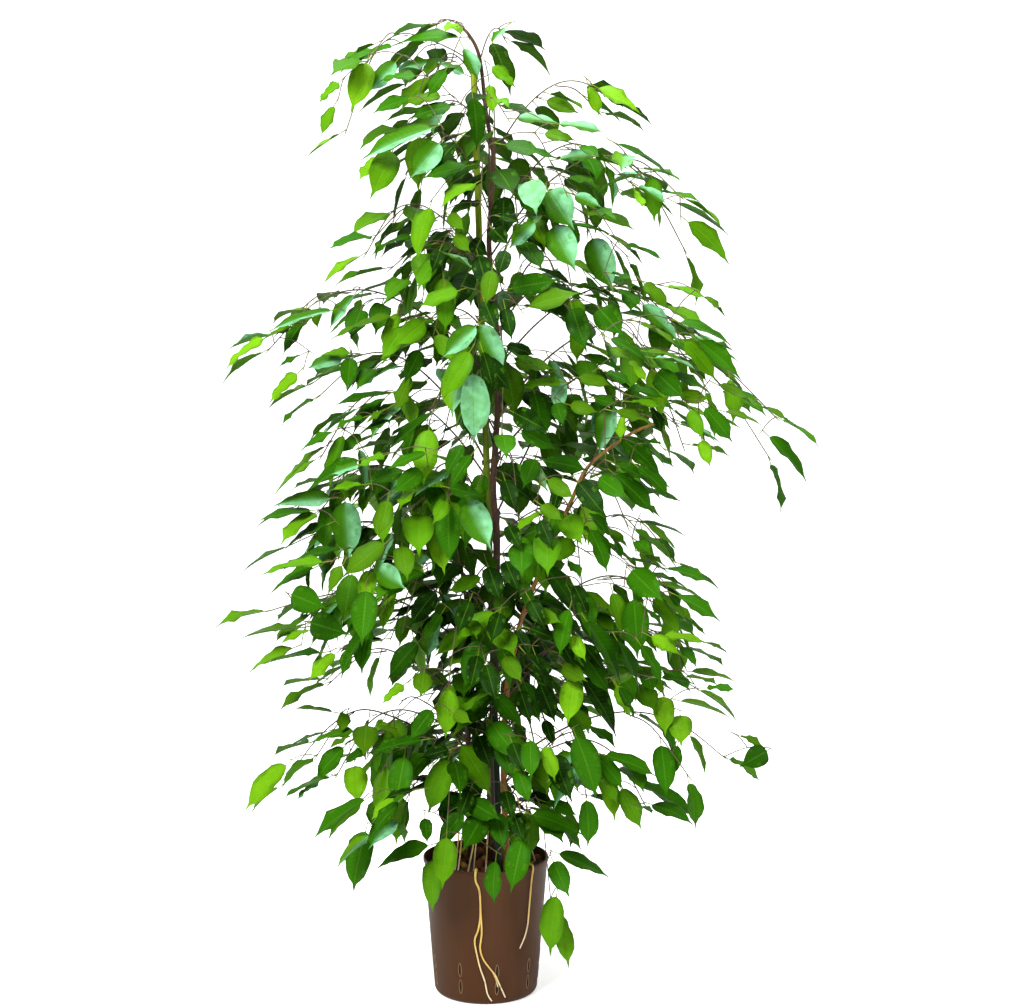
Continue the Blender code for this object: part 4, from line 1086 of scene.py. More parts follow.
    def core_shoot(self, branch: Branch) -> None:
        """Gives a longer branch its side shoot."""
        if branch.spray.reach < WOOD.shoot_reach:
            return
        rng = Random(f"shoots {branch.name}")
        hand = rng.choice((-1, 1))
        for _ in range(LEAF_RULES.tries):
            length = branch.spray.reach * rng.uniform(*WOOD.shoot_length)
            spread = math.radians(rng.uniform(*WOOD.shoot_spread))
            start = rng.uniform(*WOOD.shoot_start)
            route = self.shoot(branch.twigs[0].route, start, hand, spread, length)
            if self.graft(branch, tapered(route, 1.15 * WOOD.tip_radius, WOOD.tip_radius),
                          5 * WOOD.tip_radius):
                return
            hand = -hand

    def core_leaves(self, branch: Branch) -> None:
        """A leaf at each tip, then others along the axis, then one on the shoot."""
        axis, shoots = branch.twigs[0], branch.twigs[1:]
        for n, twig in enumerate(branch.twigs):
            tip, ahead = twig.route[-1], twig.heading()
            self.try_leaf(branch, tip - LEAF_RULES.tip_inset * ahead, ahead, LEAF_RULES.tip_hand,
                          f"{branch.name} tip {n}")
        count = round(WOOD.fewest_leaves + WOOD.leaves_per_metre * branch.spray.reach)
        for i in range(count):
            u = WOOD.leaf_start + WOOD.leaf_span * (i + 0.5) / count
            self.try_leaf(branch, *point_on(axis.route, u), 1 if i % 2 else -1,
                          f"{branch.name} axis {i}")
        for n, twig in enumerate(shoots):
            self.try_leaf(branch, *point_on(twig.route, WOOD.shoot_leaf), 1 if n else -1,
                          f"{branch.name} shoot {n}")

    def grow_inner(self) -> list[Branch]:
        """The small branches between the solids' own, each where it finds room."""
        branches: list[Branch] = []
        for stem, low, high, count in INNER.stems:
            rng = Random(f"inner {stem.value} {low}")
            for i in range(count):
                height = low + (high - low) * (i + rng.uniform(*INNER.place)) / count
                bearing = (i * INNER.golden_turn + INNER.stray * rng.random()) % 360
                reach = rng.uniform(*INNER.reach)
                spray = Spray(stem, height, bearing, reach, reach * rng.uniform(*INNER.rise),
                              reach * rng.uniform(*INNER.droop))
                self.settle(branches, f"inner_{len(branches) + 1:02d}", spray, boxed=True)
        return branches

    @staticmethod
    def sighted(row: Sequence[float], depth: float) -> Leaf:
        """The leaf that looks as its row says when its base is at a depth.

        Args:
            row: a row of PLACED.
            depth: the base's y.

        Returns:
            The leaf.
        """
        rng = Random(f"placed {row}")
        base = SIGHT.point(row[0], row[1], depth)
        flat = SIGHT.point(row[2], row[3], depth) - base
        eye = Vector(SIGHT.place) - base
        seen = row[4] * eye.length / SIGHT.axes()[2]
        eye.normalize()
        blade = max(flat.length, seen / SIGHTED.blade_share, SIGHTED.shortest)
        blade = max(flat.length, min(blade, LEAF_RULES.blade_length[1]))
        deep = math.sqrt(max(0.0, blade ** 2 - flat.length_squared))
        chord = (flat + (deep if depth < SIGHTED.front else -deep) * eye).normalized()
        face = (eye - eye.dot(chord) * chord).normalized()
        side = chord.cross(face)
        width = max(SIGHTED.blade_share * blade, min(seen, SIGHTED.widest * blade))
        turn = math.acos(min(1.0, seen / width))
        normal = math.cos(turn) * face + math.sin(turn) * math.copysign(1.0, side.z) * side
        bend = math.radians(rng.uniform(*SIGHTED.bend))
        forward = math.cos(bend / 3) * chord + math.sin(bend / 3) * normal
        normal = math.cos(bend / 3) * normal - math.sin(bend / 3) * chord
        stalk, fold = LEAF_RULES.petiole, math.radians(rng.uniform(*SIGHTED.fold))
        bent, folded = SIGHTED.lift
        base -= (bent * bend * blade + folded * width * math.sin(fold)) * normal
        return Leaf(base - stalk * forward, forward, normal, blade + stalk, width, bend,
                    fold, rng.uniform(*LEAF_RULES.wave), int(row[5]))

    @staticmethod
    def knots_of(branch: Branch, twig: Twig) -> list[tuple[Vector, Pair, Branch]]:
        """The spots on a twig that can carry a leaf, with their pixels."""
        spots = fine(twig, SIGHTED.knot_step).route[2:]
        return [(spot, SIGHT.pixel(spot), branch) for spot in spots]

    def place_leaves(self) -> None:
        """Hangs the listed leaves on shoots from the nearest twigs."""
        knots = [knot for branch in self.branches + self.inner for twig in branch.twigs
                 for knot in self.knots_of(branch, twig)]
        missed = 0
        for row in PLACED:
            costs = []
            for n, (spot, (x, y), _) in enumerate(knots):
                gap = SIGHTED.pixel * math.hypot(x - row[0], y - row[1])
                if gap < SIGHTED.farthest:
                    below = SIGHTED.pixel * max(0.0, y - row[1])
                    cost = gap + SIGHTED.depth_cost * spot.y + SIGHTED.below_cost * below
                    costs.append((cost, n))
            for _, n in sorted(costs)[:SIGHTED.holders]:
                spot, _, branch = knots[n]
                twig = self.hang(row, spot, branch)
                if twig:
                    knots += self.knots_of(branch, twig)
                    break
            else:
                missed += 1
        LOG.info("placed by eye: %d leaves, %d found no twig", len(PLACED) - missed, missed)

    def hang(self, row: Sequence[float], spot: Vector, branch: Branch) -> Twig | None:
        """Tries to hang one placed leaf from a spot on a branch.

        Args:
            row: its row of PLACED.
            spot: where its shoot starts.
            branch: the branch that the spot is on.

        Returns:
            The shoot, or None where there is no room.
        """
        for step in SIGHTED.steps:
            leaf = self.sighted(row, spot.y + step)
            shell = LEAF_RULES.shell(leaf, LEAF_RULES.tested_from)
            if not self.in_box(shell[0]) or not self.thicket.clear(shell):
                continue
            middle = spot.lerp(leaf.root, 0.5) + SIGHTED.arch * (leaf.root - spot).length * UP
            bud = leaf.root + SIGHTED.bud * (leaf.root - middle).normalized()
            twig = tapered([spot, middle, leaf.root], *FILL.shoot_radii)
            if self.in_box((middle, bud)) and self.graft(branch, twig, FILL.shoot_free):
                self.bear(branch, leaf)
                self.screen.guard(leaf)
                return twig
        return None

    def add_shoots(self, branch: Branch) -> None:
        """Fills a branch in with the shoots that its solid leaves out."""
        rng = Random(f"more shoots {branch.name}")
        count = round(FILL.shoots_per_metre * branch.spray.reach)
        for i in range(count):
            u = FILL.shoot_from + FILL.shoot_span * (i + 0.5) / count
            hand = 1 if i % 2 else -1
            for _ in range(LEAF_RULES.tries):
                length = min(rng.uniform(*FILL.shoot_length), 0.5 * branch.spray.reach)
                spread = math.radians(rng.uniform(*FILL.shoot_spread))
                start = u + rng.uniform(-FILL.shoot_stray, FILL.shoot_stray)
                route = self.shoot(branch.twigs[0].route, start, hand, spread, length)
                if self.screen.fullness(route[-1]) < FILL.thinning * rng.random():
                    continue
                if self.graft(branch, tapered(route, *FILL.shoot_radii), FILL.shoot_free, boxed=True):
                    break

    def add_leaves(self, branch: Branch) -> None:
        """Fills a branch in with leaves at every node that has none."""
        taken = [leaf.root for leaf in branch.leaves]
        for n, twig in enumerate(branch.twigs):
            length = sum((b - a).length for a, b in zip(twig.route, twig.route[1:]))
            if length < FILL.leaf_gap:
                continue
            first = INNER.first_leaf if branch in self.inner else FILL.first_leaf
            start = first if n == 0 else 0.4 * FILL.leaf_gap
            count = max(1, round((length - start) / FILL.leaf_gap))
            for i in range(count + 1):
                root, ahead = point_on(twig.route, (start + (length - start) * i / count) / length)
                if any((root - other).length < FILL.own_gap for other in taken):
                    continue
                if Random(f"thin {branch.name} {n} {i}").random() > self.screen.fullness(root):
                    continue
                hand = LEAF_RULES.tip_hand if i == count else (1 if (i + n) % 2 else -1)
                before = len(branch.leaves)
                self.try_leaf(branch, root, ahead, hand, f"{branch.name} more {n} {i}", boxed=True)
                taken += [leaf.root for leaf in branch.leaves[before:]]


class Wiring:
    """A node tree while it is wired, with one call for each common step."""

    def __init__(self, tree: bpy.types.NodeTree) -> None:
        """Takes the tree to wire."""
        self.tree = tree

    def put(self, kind: str, feeds: dict[Any, Any] | None = None, **settings: Any) -> bpy.types.Node:
        """Adds a node.

        Args:
            kind: its type.
            feeds: what its inputs get, by their names or numbers.
            settings: its own settings.

        Returns:
            The node.
        """
        node = self.tree.nodes.new(kind)
        for name, value in settings.items():
            setattr(node, name, value)
        for key, value in (feeds or {}).items():
            self.feed(node.inputs[key], value)
        return node

    def feed(self, socket: Socket, value: Any) -> None:
        """Links a socket to a socket, or sets its value, which for a colour has no alpha."""
        if isinstance(value, bpy.types.NodeSocket):
            self.tree.links.new(value, socket)
        elif value is not None:
            socket.default_value = (*value, 1.0) if socket.type == "RGBA" else value

    def math(self, operation: str, *values: Any, clamp: bool = False) -> Socket:
        """The result of a Math node."""
        feeds = dict(enumerate(values))
        return self.put("ShaderNodeMath", feeds, operation=operation, use_clamp=clamp).outputs[0]

    def vector(self, operation: str, *values: Any) -> Socket:
        """The result of a Vector Math node."""
        feeds = dict(enumerate(values))
        return self.put("ShaderNodeVectorMath", feeds, operation=operation).outputs[0]

    def scaled(self, vector: Any, factor: Any) -> Socket:
        """A vector times a number."""
        feeds = {0: vector, "Scale": factor}
        return self.put("ShaderNodeVectorMath", feeds, operation="SCALE").outputs[0]

    def product(self, *values: Any) -> Socket:
        """Several numbers multiplied."""
        return reduce(partial(self.math, "MULTIPLY"), values)

    def total(self, *vectors: Any) -> Socket:
        """Several vectors added up."""
        return reduce(partial(self.vector, "ADD"), vectors)

    def step(self, value: Any, low: float, high: float, to: Pair = (0.0, 1.0)) -> Socket:
        """A value mapped smoothly from the range low to high onto another range."""
        feeds = {"Value": value, "From Min": low, "From Max": high, "To Min": to[0], "To Max": to[1]}
        made = self.put("ShaderNodeMapRange", feeds, interpolation_type="SMOOTHSTEP")
        return made.outputs["Result"]

    def blend(self, factor: Any, first: Any, second: Any, kind: str = "MIX") -> Socket:
        """Two colours mixed by a factor."""
        feeds = {0: factor, 6: first, 7: second}
        return self.put("ShaderNodeMix", feeds, data_type="RGBA", blend_type=kind).outputs[2]


class GroupWiring(Wiring):
    """A node group while it is wired, with its named inputs and outputs at hand."""

    def __init__(self, name: str, kind: str, inputs: dict[str, str], outputs: dict[str, str]) -> None:
        """Makes the group.

        Args:
            name: its name.
            kind: its type.
            inputs: the type of each named input.
            outputs: the type of each named output.
        """
        super().__init__(bpy.data.node_groups.new(name, kind))
        for way, sockets in (("INPUT", inputs), ("OUTPUT", outputs)):
            for label, holds in sockets.items():
                self.tree.interface.new_socket(
                    name=label, in_out=way, socket_type=f"NodeSocket{holds}")
        self.source = self.put("NodeGroupInput").outputs
        self.sink = self.put("NodeGroupOutput").inputs


class TreeBuilder(GroupWiring):
    """A Geometry Nodes tree with a geometry input, named inputs and one geometry output."""

    def __init__(self, name: str, inputs: dict[str, str]) -> None:
        """Makes the tree and its interface, to which the material's input is added."""
        inputs = {"Geometry": "Geometry", **inputs, "Material": "Material"}
        super().__init__(name, "GeometryNodeTree", inputs, {"Geometry": "Geometry"})

    def attribute(self, name: str, vector: bool = False) -> Socket:
        """A named attribute of the geometry."""
        kind = "FLOAT_VECTOR" if vector else "FLOAT"
        made = self.put("GeometryNodeInputNamedAttribute", {"Name": name}, data_type=kind)
        return made.outputs[0]

    def then(self, kind: str, geometry: Socket, feeds: dict[str, Any] | None = None) -> Socket:
        """Passes geometry through a node, with what its other inputs get."""
        return self.put(kind, {0: geometry, **(feeds or {})}).outputs[0]

    def roughen(self, geometry: Socket, place: Socket, scale: Any, detail: float,
                *depths: Any) -> Socket:
        """Moves a surface in and out along its normals by noise.

        Args:
            geometry: the surface.
            place: where the noise is read.
            scale: the noise's scale.
            detail: its detail.
            depths: how far it moves the surface, as factors.

        Returns:
            The rough surface.
        """
        noise = self.put("ShaderNodeTexNoise", {"Vector": place, "Scale": scale, "Detail": detail})
        height = self.product(self.math("SUBTRACT", noise.outputs[0], 0.5), *depths)
        lift = self.scaled(self.put("GeometryNodeInputNormal").outputs[0], height)
        return self.then("GeometryNodeSetPosition", geometry, {"Offset": lift})

    def end(self, geometry: Socket) -> bpy.types.NodeTree:
        """Shades the geometry smooth, gives it the material and returns the whole tree."""
        made = self.then("GeometryNodeSetShadeSmooth", geometry)
        made = self.then("GeometryNodeSetMaterial", made, {"Material": self.source["Material"]})
        self.feed(self.sink[0], made)
        return self.tree


def add_object(name: str, data: bpy.types.ID) -> bpy.types.Object:
    """Adds an object with the given data to the scene."""
    obj = bpy.data.objects.new(name, data)
    bpy.context.scene.collection.objects.link(obj)
    return obj


def as_mesh(name: str, form: bmesh.types.BMesh) -> bpy.types.Mesh:
    """Turns a bmesh, which is freed, into a mesh."""
    mesh = bpy.data.meshes.new(name)
    form.to_mesh(mesh)
    form.free()
    return mesh


def keep_result(obj: bpy.types.Object, modifier: bpy.types.Modifier) -> None:
    """Gives an object the mesh that its modifier makes, and removes the modifier."""
    graph = bpy.context.evaluated_depsgraph_get()
    made = bpy.data.meshes.new_from_object(
        obj.evaluated_get(graph), preserve_all_data_layers=True, depsgraph=graph)
    obj.modifiers.remove(modifier)
    obj.data = made


def run_tree(name: str, mesh: bpy.types.Mesh, tree: bpy.types.NodeTree,
             values: dict[str, Any]) -> bpy.types.Object:
    """Runs a Geometry Nodes tree on a mesh and keeps the result as a plain mesh.

    Args:
        name: the new object's name.
        mesh: what the tree starts from.
        tree: the tree.
        values: the tree's inputs by name.

    Returns:
        The object, with no modifier left on it.
    """
    obj = add_object(name, mesh)
    modifier = obj.modifiers.new("grow", "NODES")
    modifier.node_group = tree
    for item in tree.interface.items_tree:
        if item.in_out == "INPUT" and item.name in values:
            modifier[item.identifier] = values[item.name]
    keep_result(obj, modifier)
    return obj


def point_mesh(name: str, points: Route, floats: dict[str, list[float]],
               vectors: dict[str, Route] | None = None,
               edges: Sequence[tuple[int, int]] = ()) -> bpy.types.Mesh:
    """A mesh of points, or of lines, with a value at each for every named attribute.

    Args:
        name: the mesh's name.
        points: where the points are.
        floats: numbers by attribute name.
        vectors: vectors by attribute name.
        edges: the lines, as pairs of points.

    Returns:
        The mesh.
    """
    mesh = bpy.data.meshes.new(name)
    mesh.from_pydata([tuple(p) for p in points], list(edges), [])
    for label, numbers in floats.items():
        mesh.attributes.new(label, "FLOAT", "POINT").data.foreach_set("value", numbers)
    for label, places in (vectors or {}).items():
        flat = [component for place in places for component in place]
        mesh.attributes.new(label, "FLOAT_VECTOR", "POINT").data.foreach_set("vector", flat)
    return mesh


class WoodMill:
    """Turns centre lines into round wood and roots."""

    grain = (1.0, 1.0, 0.45)

    def __init__(self) -> None:
        """Builds the tree that all of it shares."""
        build = TreeBuilder("round_wood",
                            {"Sides": "Int", "Relief": "Float", "Relief Scale": "Float"})
        line = build.then("GeometryNodeMeshToCurve", build.source["Geometry"])
        ring = build.put("GeometryNodeCurvePrimitiveCircle",
                         {"Resolution": build.source["Sides"], "Radius": 1.0}, mode="RADIUS")
        wood = build.then("GeometryNodeCurveToMesh", line, {
            "Profile Curve": ring.outputs[0], "Scale": build.attribute("radius"), "Fill Caps": True})
        wood = build.then("GeometryNodeRealizeInstances", wood)
        place = build.put("GeometryNodeInputPosition").outputs[0]
        self.tree = build.end(build.roughen(
            wood, build.vector("MULTIPLY", place, self.grain), build.source["Relief Scale"], 3.0,
            build.source["Relief"], build.attribute("radius")))

    def make(self, name: str, twigs: Sequence[Twig], material: bpy.types.Material, sides: int = 8,
             step: float = 0.006, relief: float = 0.0, relief_scale: float = 300.0) -> bpy.types.Object:
        """Makes one piece of the given twigs.

        Args:
            name: the piece's name.
            twigs: the centre lines.
            material: its material.
            sides: how many sides a section has.
            step: how far apart the sections are.
            relief: how rough the surface is, as a share of the radius.
            relief_scale: how fine that roughness is.

        Returns:
            The piece, with attributes radius and grown, which runs 0 to 1 along each twig.
        """
        points: Route = []
        radius: list[float] = []
        grown: list[float] = []
        edges: list[tuple[int, int]] = []
        for twig in twigs:
            smooth = fine(twig, step)
            first, count = len(points), len(smooth.route)
            points += smooth.route
            radius += smooth.radii
            grown += [i / (count - 1) for i in range(count)]
            edges += [(first + i, first + i + 1) for i in range(count - 1)]
        mesh = point_mesh(name, points, {"radius": radius, "grown": grown}, edges=edges)
        return run_tree(name, mesh, self.tree, {
            "Sides": sides, "Relief": relief, "Relief Scale": relief_scale, "Material": material})


class LeafMill:
    """Turns grown leaves into curved, waved blades with their stalks."""

    stalk_rows = ((-1.0, 0.00080), (-0.12, 0.00062))
    blade_rows = (
        (0.00, 0.035), (0.03, 0.36), (0.09, 0.66), (0.18, 0.88), (0.30, 0.99), (0.43, 1.00),
        (0.56, 0.92), (0.68, 0.73), (0.77, 0.44), (0.85, 0.15), (1.00, 0.012),
    )
    section = ((-1.0, 0.0), (-0.5, 1.0), (0.0, 1.0), (0.5, 1.0), (1.0, 0.0), (0.5, -1.0), (0.0, -1.0),
               (-0.5, -1.0))
    half_thickness = 0.00022
    rib_depth = 0.00055
    puff = 0.105
    waviness = 1.15

    def __init__(self) -> None:
        """Draws the flat pattern and builds the tree that bends each copy of it."""
        self.pattern = self.draw_pattern()
        build = TreeBuilder("curved_leaves", {"Pattern": "Object"})
        info = build.put("GeometryNodeObjectInfo", {"Object": build.source["Pattern"]})
        leaves = build.then("GeometryNodeInstanceOnPoints", build.source["Geometry"],
                            {"Instance": info.outputs["Geometry"]})
        leaves = build.then("GeometryNodeRealizeInstances", leaves)
        leaves = build.then("GeometryNodeSetPosition", leaves, {"Position": self.bent(build)})
        self.tree = build.end(leaves)

    def bent(self, build: TreeBuilder) -> Socket:
        """Wires where a point of the pattern goes on a bent, folded and waved leaf."""
        value, math_of, product = build.attribute, build.math, build.product
        along, edge, blade, half, bend, wave, phase = (
            value(name) for name in ("along", "edge", "blade", "half_width", "bend", "wave", "phase"))
        forward, normal = value("forward", True), value("normal", True)
        side = build.vector("CROSS_PRODUCT", normal, forward)
        on_blade = math_of("MAXIMUM", along, 0.0)
        on_stalk = math_of("ADD", math_of("MINIMUM", along, 0.0), 1.0)
        turn = product(bend, math_of("POWER", on_blade, 2.0))
        shorter = product(bend, bend, 0.1, math_of("POWER", on_blade, 5.0))
        ahead = product(blade, math_of("SUBTRACT", on_blade, shorter))
        ahead = math_of("MULTIPLY_ADD", on_stalk, value("stalk"), ahead)
        fall = product(blade, bend, math_of("DIVIDE", math_of("POWER", on_blade, 3.0), -3.0))
        across = math_of("MULTIPLY_ADD", value("across"), half, value("neck"))
        folded = product(math_of("ABSOLUTE", product(value("across"), half)),
                         math_of("SINE", value("fold")))
        ripple = math_of("ADD", self.slow_wave(build, along, phase, edge),
                         self.quick_wave(build, along, phase, edge))
        ripple = product(ripple, wave, value("ripple"))
        puffed = product(value("puffed"), half, self.puff)
        lift = math_of("ADD", math_of("ADD", folded, ripple), math_of("ADD", puffed, value("skin")))
        level = build.total(build.scaled(forward, math_of("SINE", turn)),
                            build.scaled(normal, math_of("COSINE", turn)))
        across = product(across, math_of("COSINE", value("fold")))
        return build.total(value("root", True), build.scaled(forward, ahead),
                           build.scaled(normal, fall), build.scaled(side, across),
                           build.scaled(level, lift))

    @staticmethod
    def slow_wave(build: TreeBuilder, along: Socket, phase: Socket, edge: Socket) -> Socket:
        """Wires the long wave, which lifts one margin and lowers the other."""
        wave = build.math("SINE", build.math("MULTIPLY_ADD", along, LEAF_RULES.wave_turn, phase))
        return build.product(wave, build.math("SIGN", edge))

    @staticmethod
    def quick_wave(build: TreeBuilder, along: Socket, phase: Socket, edge: Socket) -> Socket:
        """Wires the short wave that runs round the margin."""
        start = build.math("MULTIPLY_ADD", phase, 2.0, build.product(edge, 1.7))
        return build.product(build.math("SINE", build.math("MULTIPLY_ADD", along, 20.0, start)), 0.60)

    def draw_pattern(self) -> bpy.types.Object:
        """Draws the flat leaf: a closed skin whose points know their place on the leaf."""
        rows = [(t, 0.0, neck) for t, neck in self.stalk_rows]
        rows += [(t, wide, 0.0006 * max(0.0, 1.0 - 4.0 * t)) for t, wide in self.blade_rows]
        form = bmesh.new()
        names = ("along", "across", "edge", "neck", "skin", "ripple", "puffed", "under")
        layers = {name: form.verts.layers.float.new(name) for name in names}
        rings = []
        for t, wide, neck in rows:
            ring = []
            for edge, face in self.section:
                round_off = math.sqrt(1.0 - edge * edge)
                thin = self.half_thickness * min(1.0, 3 * (1.04 - t))
                skin = face * (neck * round_off if t < 0 else thin)
                if t >= 0 and edge == 0 and face < 0:
                    skin -= self.rib_depth * (1.0 - 0.8 * t)
                vert = form.verts.new((0.08 * t, 0.02 * edge * max(wide, 0.04), skin))
                values = (t, edge * wide, edge, edge * neck, skin, wide * edge * edge,
                          wide * (abs(edge) == 0.5), float(face < 0))
                for name, value in zip(names, values):
                    vert[layers[name]] = value
                ring.append(vert)
            rings.append(ring)
        count = len(self.section)
        for ring, following in zip(rings, rings[1:]):
            for k in range(count):
                n = (k + 1) % count
                form.faces.new((ring[k], following[k], following[n], ring[n]))
            for k in (0, count // 2):
                form.edges.get((ring[k], following[k])).smooth = False
        form.faces.new(rings[0])
        form.faces.new(list(reversed(rings[-1])))
        bmesh.ops.recalc_face_normals(form, faces=form.faces)
        return add_object("leaf_pattern", as_mesh("leaf_pattern", form))

    def make(self, name: str, leaves: Sequence[Leaf], looks: Sequence[Look],
             material: bpy.types.Material) -> bpy.types.Object:
        """Makes one piece of the given leaves.

        Args:
            name: the piece's name.
            leaves: the leaves.
            looks: how each of them is coloured.
            material: their material.

        Returns:
            The piece.
        """
        stalk = LEAF_RULES.petiole
        floats = {
            "stalk": [stalk] * len(leaves),
            "blade": [leaf.length - stalk for leaf in leaves],
            "half_width": [leaf.width / 2 for leaf in leaves],
            "wave": [self.waviness * leaf.wave for leaf in leaves],
            "phase": [(LEAF_RULES.wave_phase * leaf.wave) % (2 * math.pi) for leaf in leaves],
        }
        for part, labels in ((leaves, ("bend", "fold")), (looks, ("tone", "age", "bloom"))):
            floats |= {label: [getattr(one, label) for one in part] for label in labels}
        vectors = {label: [getattr(leaf, label) for leaf in leaves]
                   for label in ("root", "forward", "normal")}
        mesh = point_mesh(name, vectors["root"], floats, vectors)
        return run_tree(name, mesh, self.tree, {"Pattern": self.pattern, "Material": material})

    def put_away(self) -> None:
        """Removes the pattern once every leaf is made."""
        bpy.data.objects.remove(self.pattern)


class ShaderWiring(Wiring):
    """A material while it is wired, with its Principled shader at hand."""

    def __init__(self, name: str, roughness: float, specular: float = 0.5,
                 tint: Colour = (1.0, 1.0, 1.0)) -> None:
        """Makes the material.

        Args:
            name: the material's name.
            roughness: its roughness where no pattern changes it.
            specular: how strongly it reflects.
            tint: the colour of what it reflects.
        """
        self.material = bpy.data.materials.new(name)
        self.material.use_nodes = True
        super().__init__(self.material.node_tree)
        self.shader = self.tree.nodes["Principled BSDF"].inputs
        self.feed(self.shader["Roughness"], roughness)
        self.feed(self.shader["Specular IOR Level"], specular)
        self.feed(self.shader["Specular Tint"], tint)

    def attribute(self, name: str) -> Socket:
        """A number that the surface's own points carry."""
        made = self.put("ShaderNodeAttribute", attribute_type="GEOMETRY", attribute_name=name)
        return made.outputs["Fac"]

    def place(self) -> Socket:
        """The Object coordinates."""
        return self.put("ShaderNodeTexCoord").outputs["Object"]

    def noise(self, scale: float, detail: float = 3.0, stretch: Colour = (1.0, 1.0, 1.0)) -> Socket:
        """Noise on Object coordinates."""
        place = self.vector("MULTIPLY", self.place(), stretch)
        feeds = {"Vector": place, "Scale": scale, "Detail": detail}
        return self.put("ShaderNodeTexNoise", feeds).outputs["Fac"]

    def speckle(self, scale: float, size: float) -> tuple[Socket, Socket]:
        """The shared effect's small spots, and the clouds between them."""
        feeds = {"Vector": self.place(), "Scale": scale, "Size": size}
        made = self.put("ShaderNodeGroup", feeds, node_tree=SPECKLE).outputs
        return made["Spots"], made["Cloud"]

    def finish(self, colour: Any, roughness: Any = None, height: Any = None,
               depth: float = 0.0005) -> bpy.types.Material:
        """Feeds the shader and returns the material.

        Args:
            colour: the base colour.
            roughness: the roughness, if a pattern changes it.
            height: the relief, if there is any.
            depth: how deep the relief is, in metres.

        Returns:
            The material.
        """
        self.feed(self.shader["Base Color"], colour)
        self.feed(self.shader["Roughness"], roughness)
        if height is not None:
            bump = self.put("ShaderNodeBump", {"Strength": 1.0, "Distance": depth, "Height": height})
            self.feed(self.shader["Normal"], bump.outputs[0])
        return self.material


def speckle_group() -> bpy.types.NodeTree:
    """Builds the shared effect of small pale spots, as pores and lenticels make.

    Returns:
        A shader group with inputs Vector, Scale and Size, and outputs Spots and Cloud.
    """
    wires = GroupWiring("speckle", "ShaderNodeTree",
                        {"Vector": "Vector", "Scale": "Float", "Size": "Float"},
                        {"Spots": "Float", "Cloud": "Float"})
    place, scale, size = (wires.source[name] for name in ("Vector", "Scale", "Size"))
    cells = wires.put("ShaderNodeTexVoronoi", {"Vector": place, "Scale": scale})
    inside = wires.math("SUBTRACT", size, cells.outputs["Distance"])
    wires.feed(wires.sink["Spots"], wires.math("MULTIPLY", inside, 8.0, clamp=True))
    cloud = wires.put("ShaderNodeTexNoise", {"Vector": place, "Scale": wires.product(scale, 0.25)})
    wires.feed(wires.sink["Cloud"], cloud.outputs["Fac"])
    return wires.tree


def vein_group() -> bpy.types.NodeTree:
    """Builds the shared effect of a leaf's midrib and side veins.

    Returns:
        A shader group with inputs Along, Edge and Count, and outputs Rib and Veins.
    """
    wires = GroupWiring("leaf_veins", "ShaderNodeTree",
                        {"Along": "Float", "Edge": "Float", "Count": "Float"},
                        {"Rib": "Float", "Veins": "Float"})
    along, edge, count = (wires.source[name] for name in ("Along", "Edge", "Count"))
    off_rib = wires.math("ABSOLUTE", edge)
    wires.feed(wires.sink["Rib"], wires.step(off_rib, 0.02, 0.11, (1.0, 0.0)))
    slanted = wires.math("SUBTRACT", along, wires.product(off_rib, 0.11))
    place = wires.math("FRACT", wires.product(slanted, count))
    near = wires.math("ABSOLUTE", wires.math("SUBTRACT", place, 0.5))
    line = wires.step(near, 0.03, 0.17, (1.0, 0.0))
    wires.feed(wires.sink["Veins"], wires.product(line, wires.step(off_rib, 0.75, 1.0, (1.0, 0.0))))
    return wires.tree


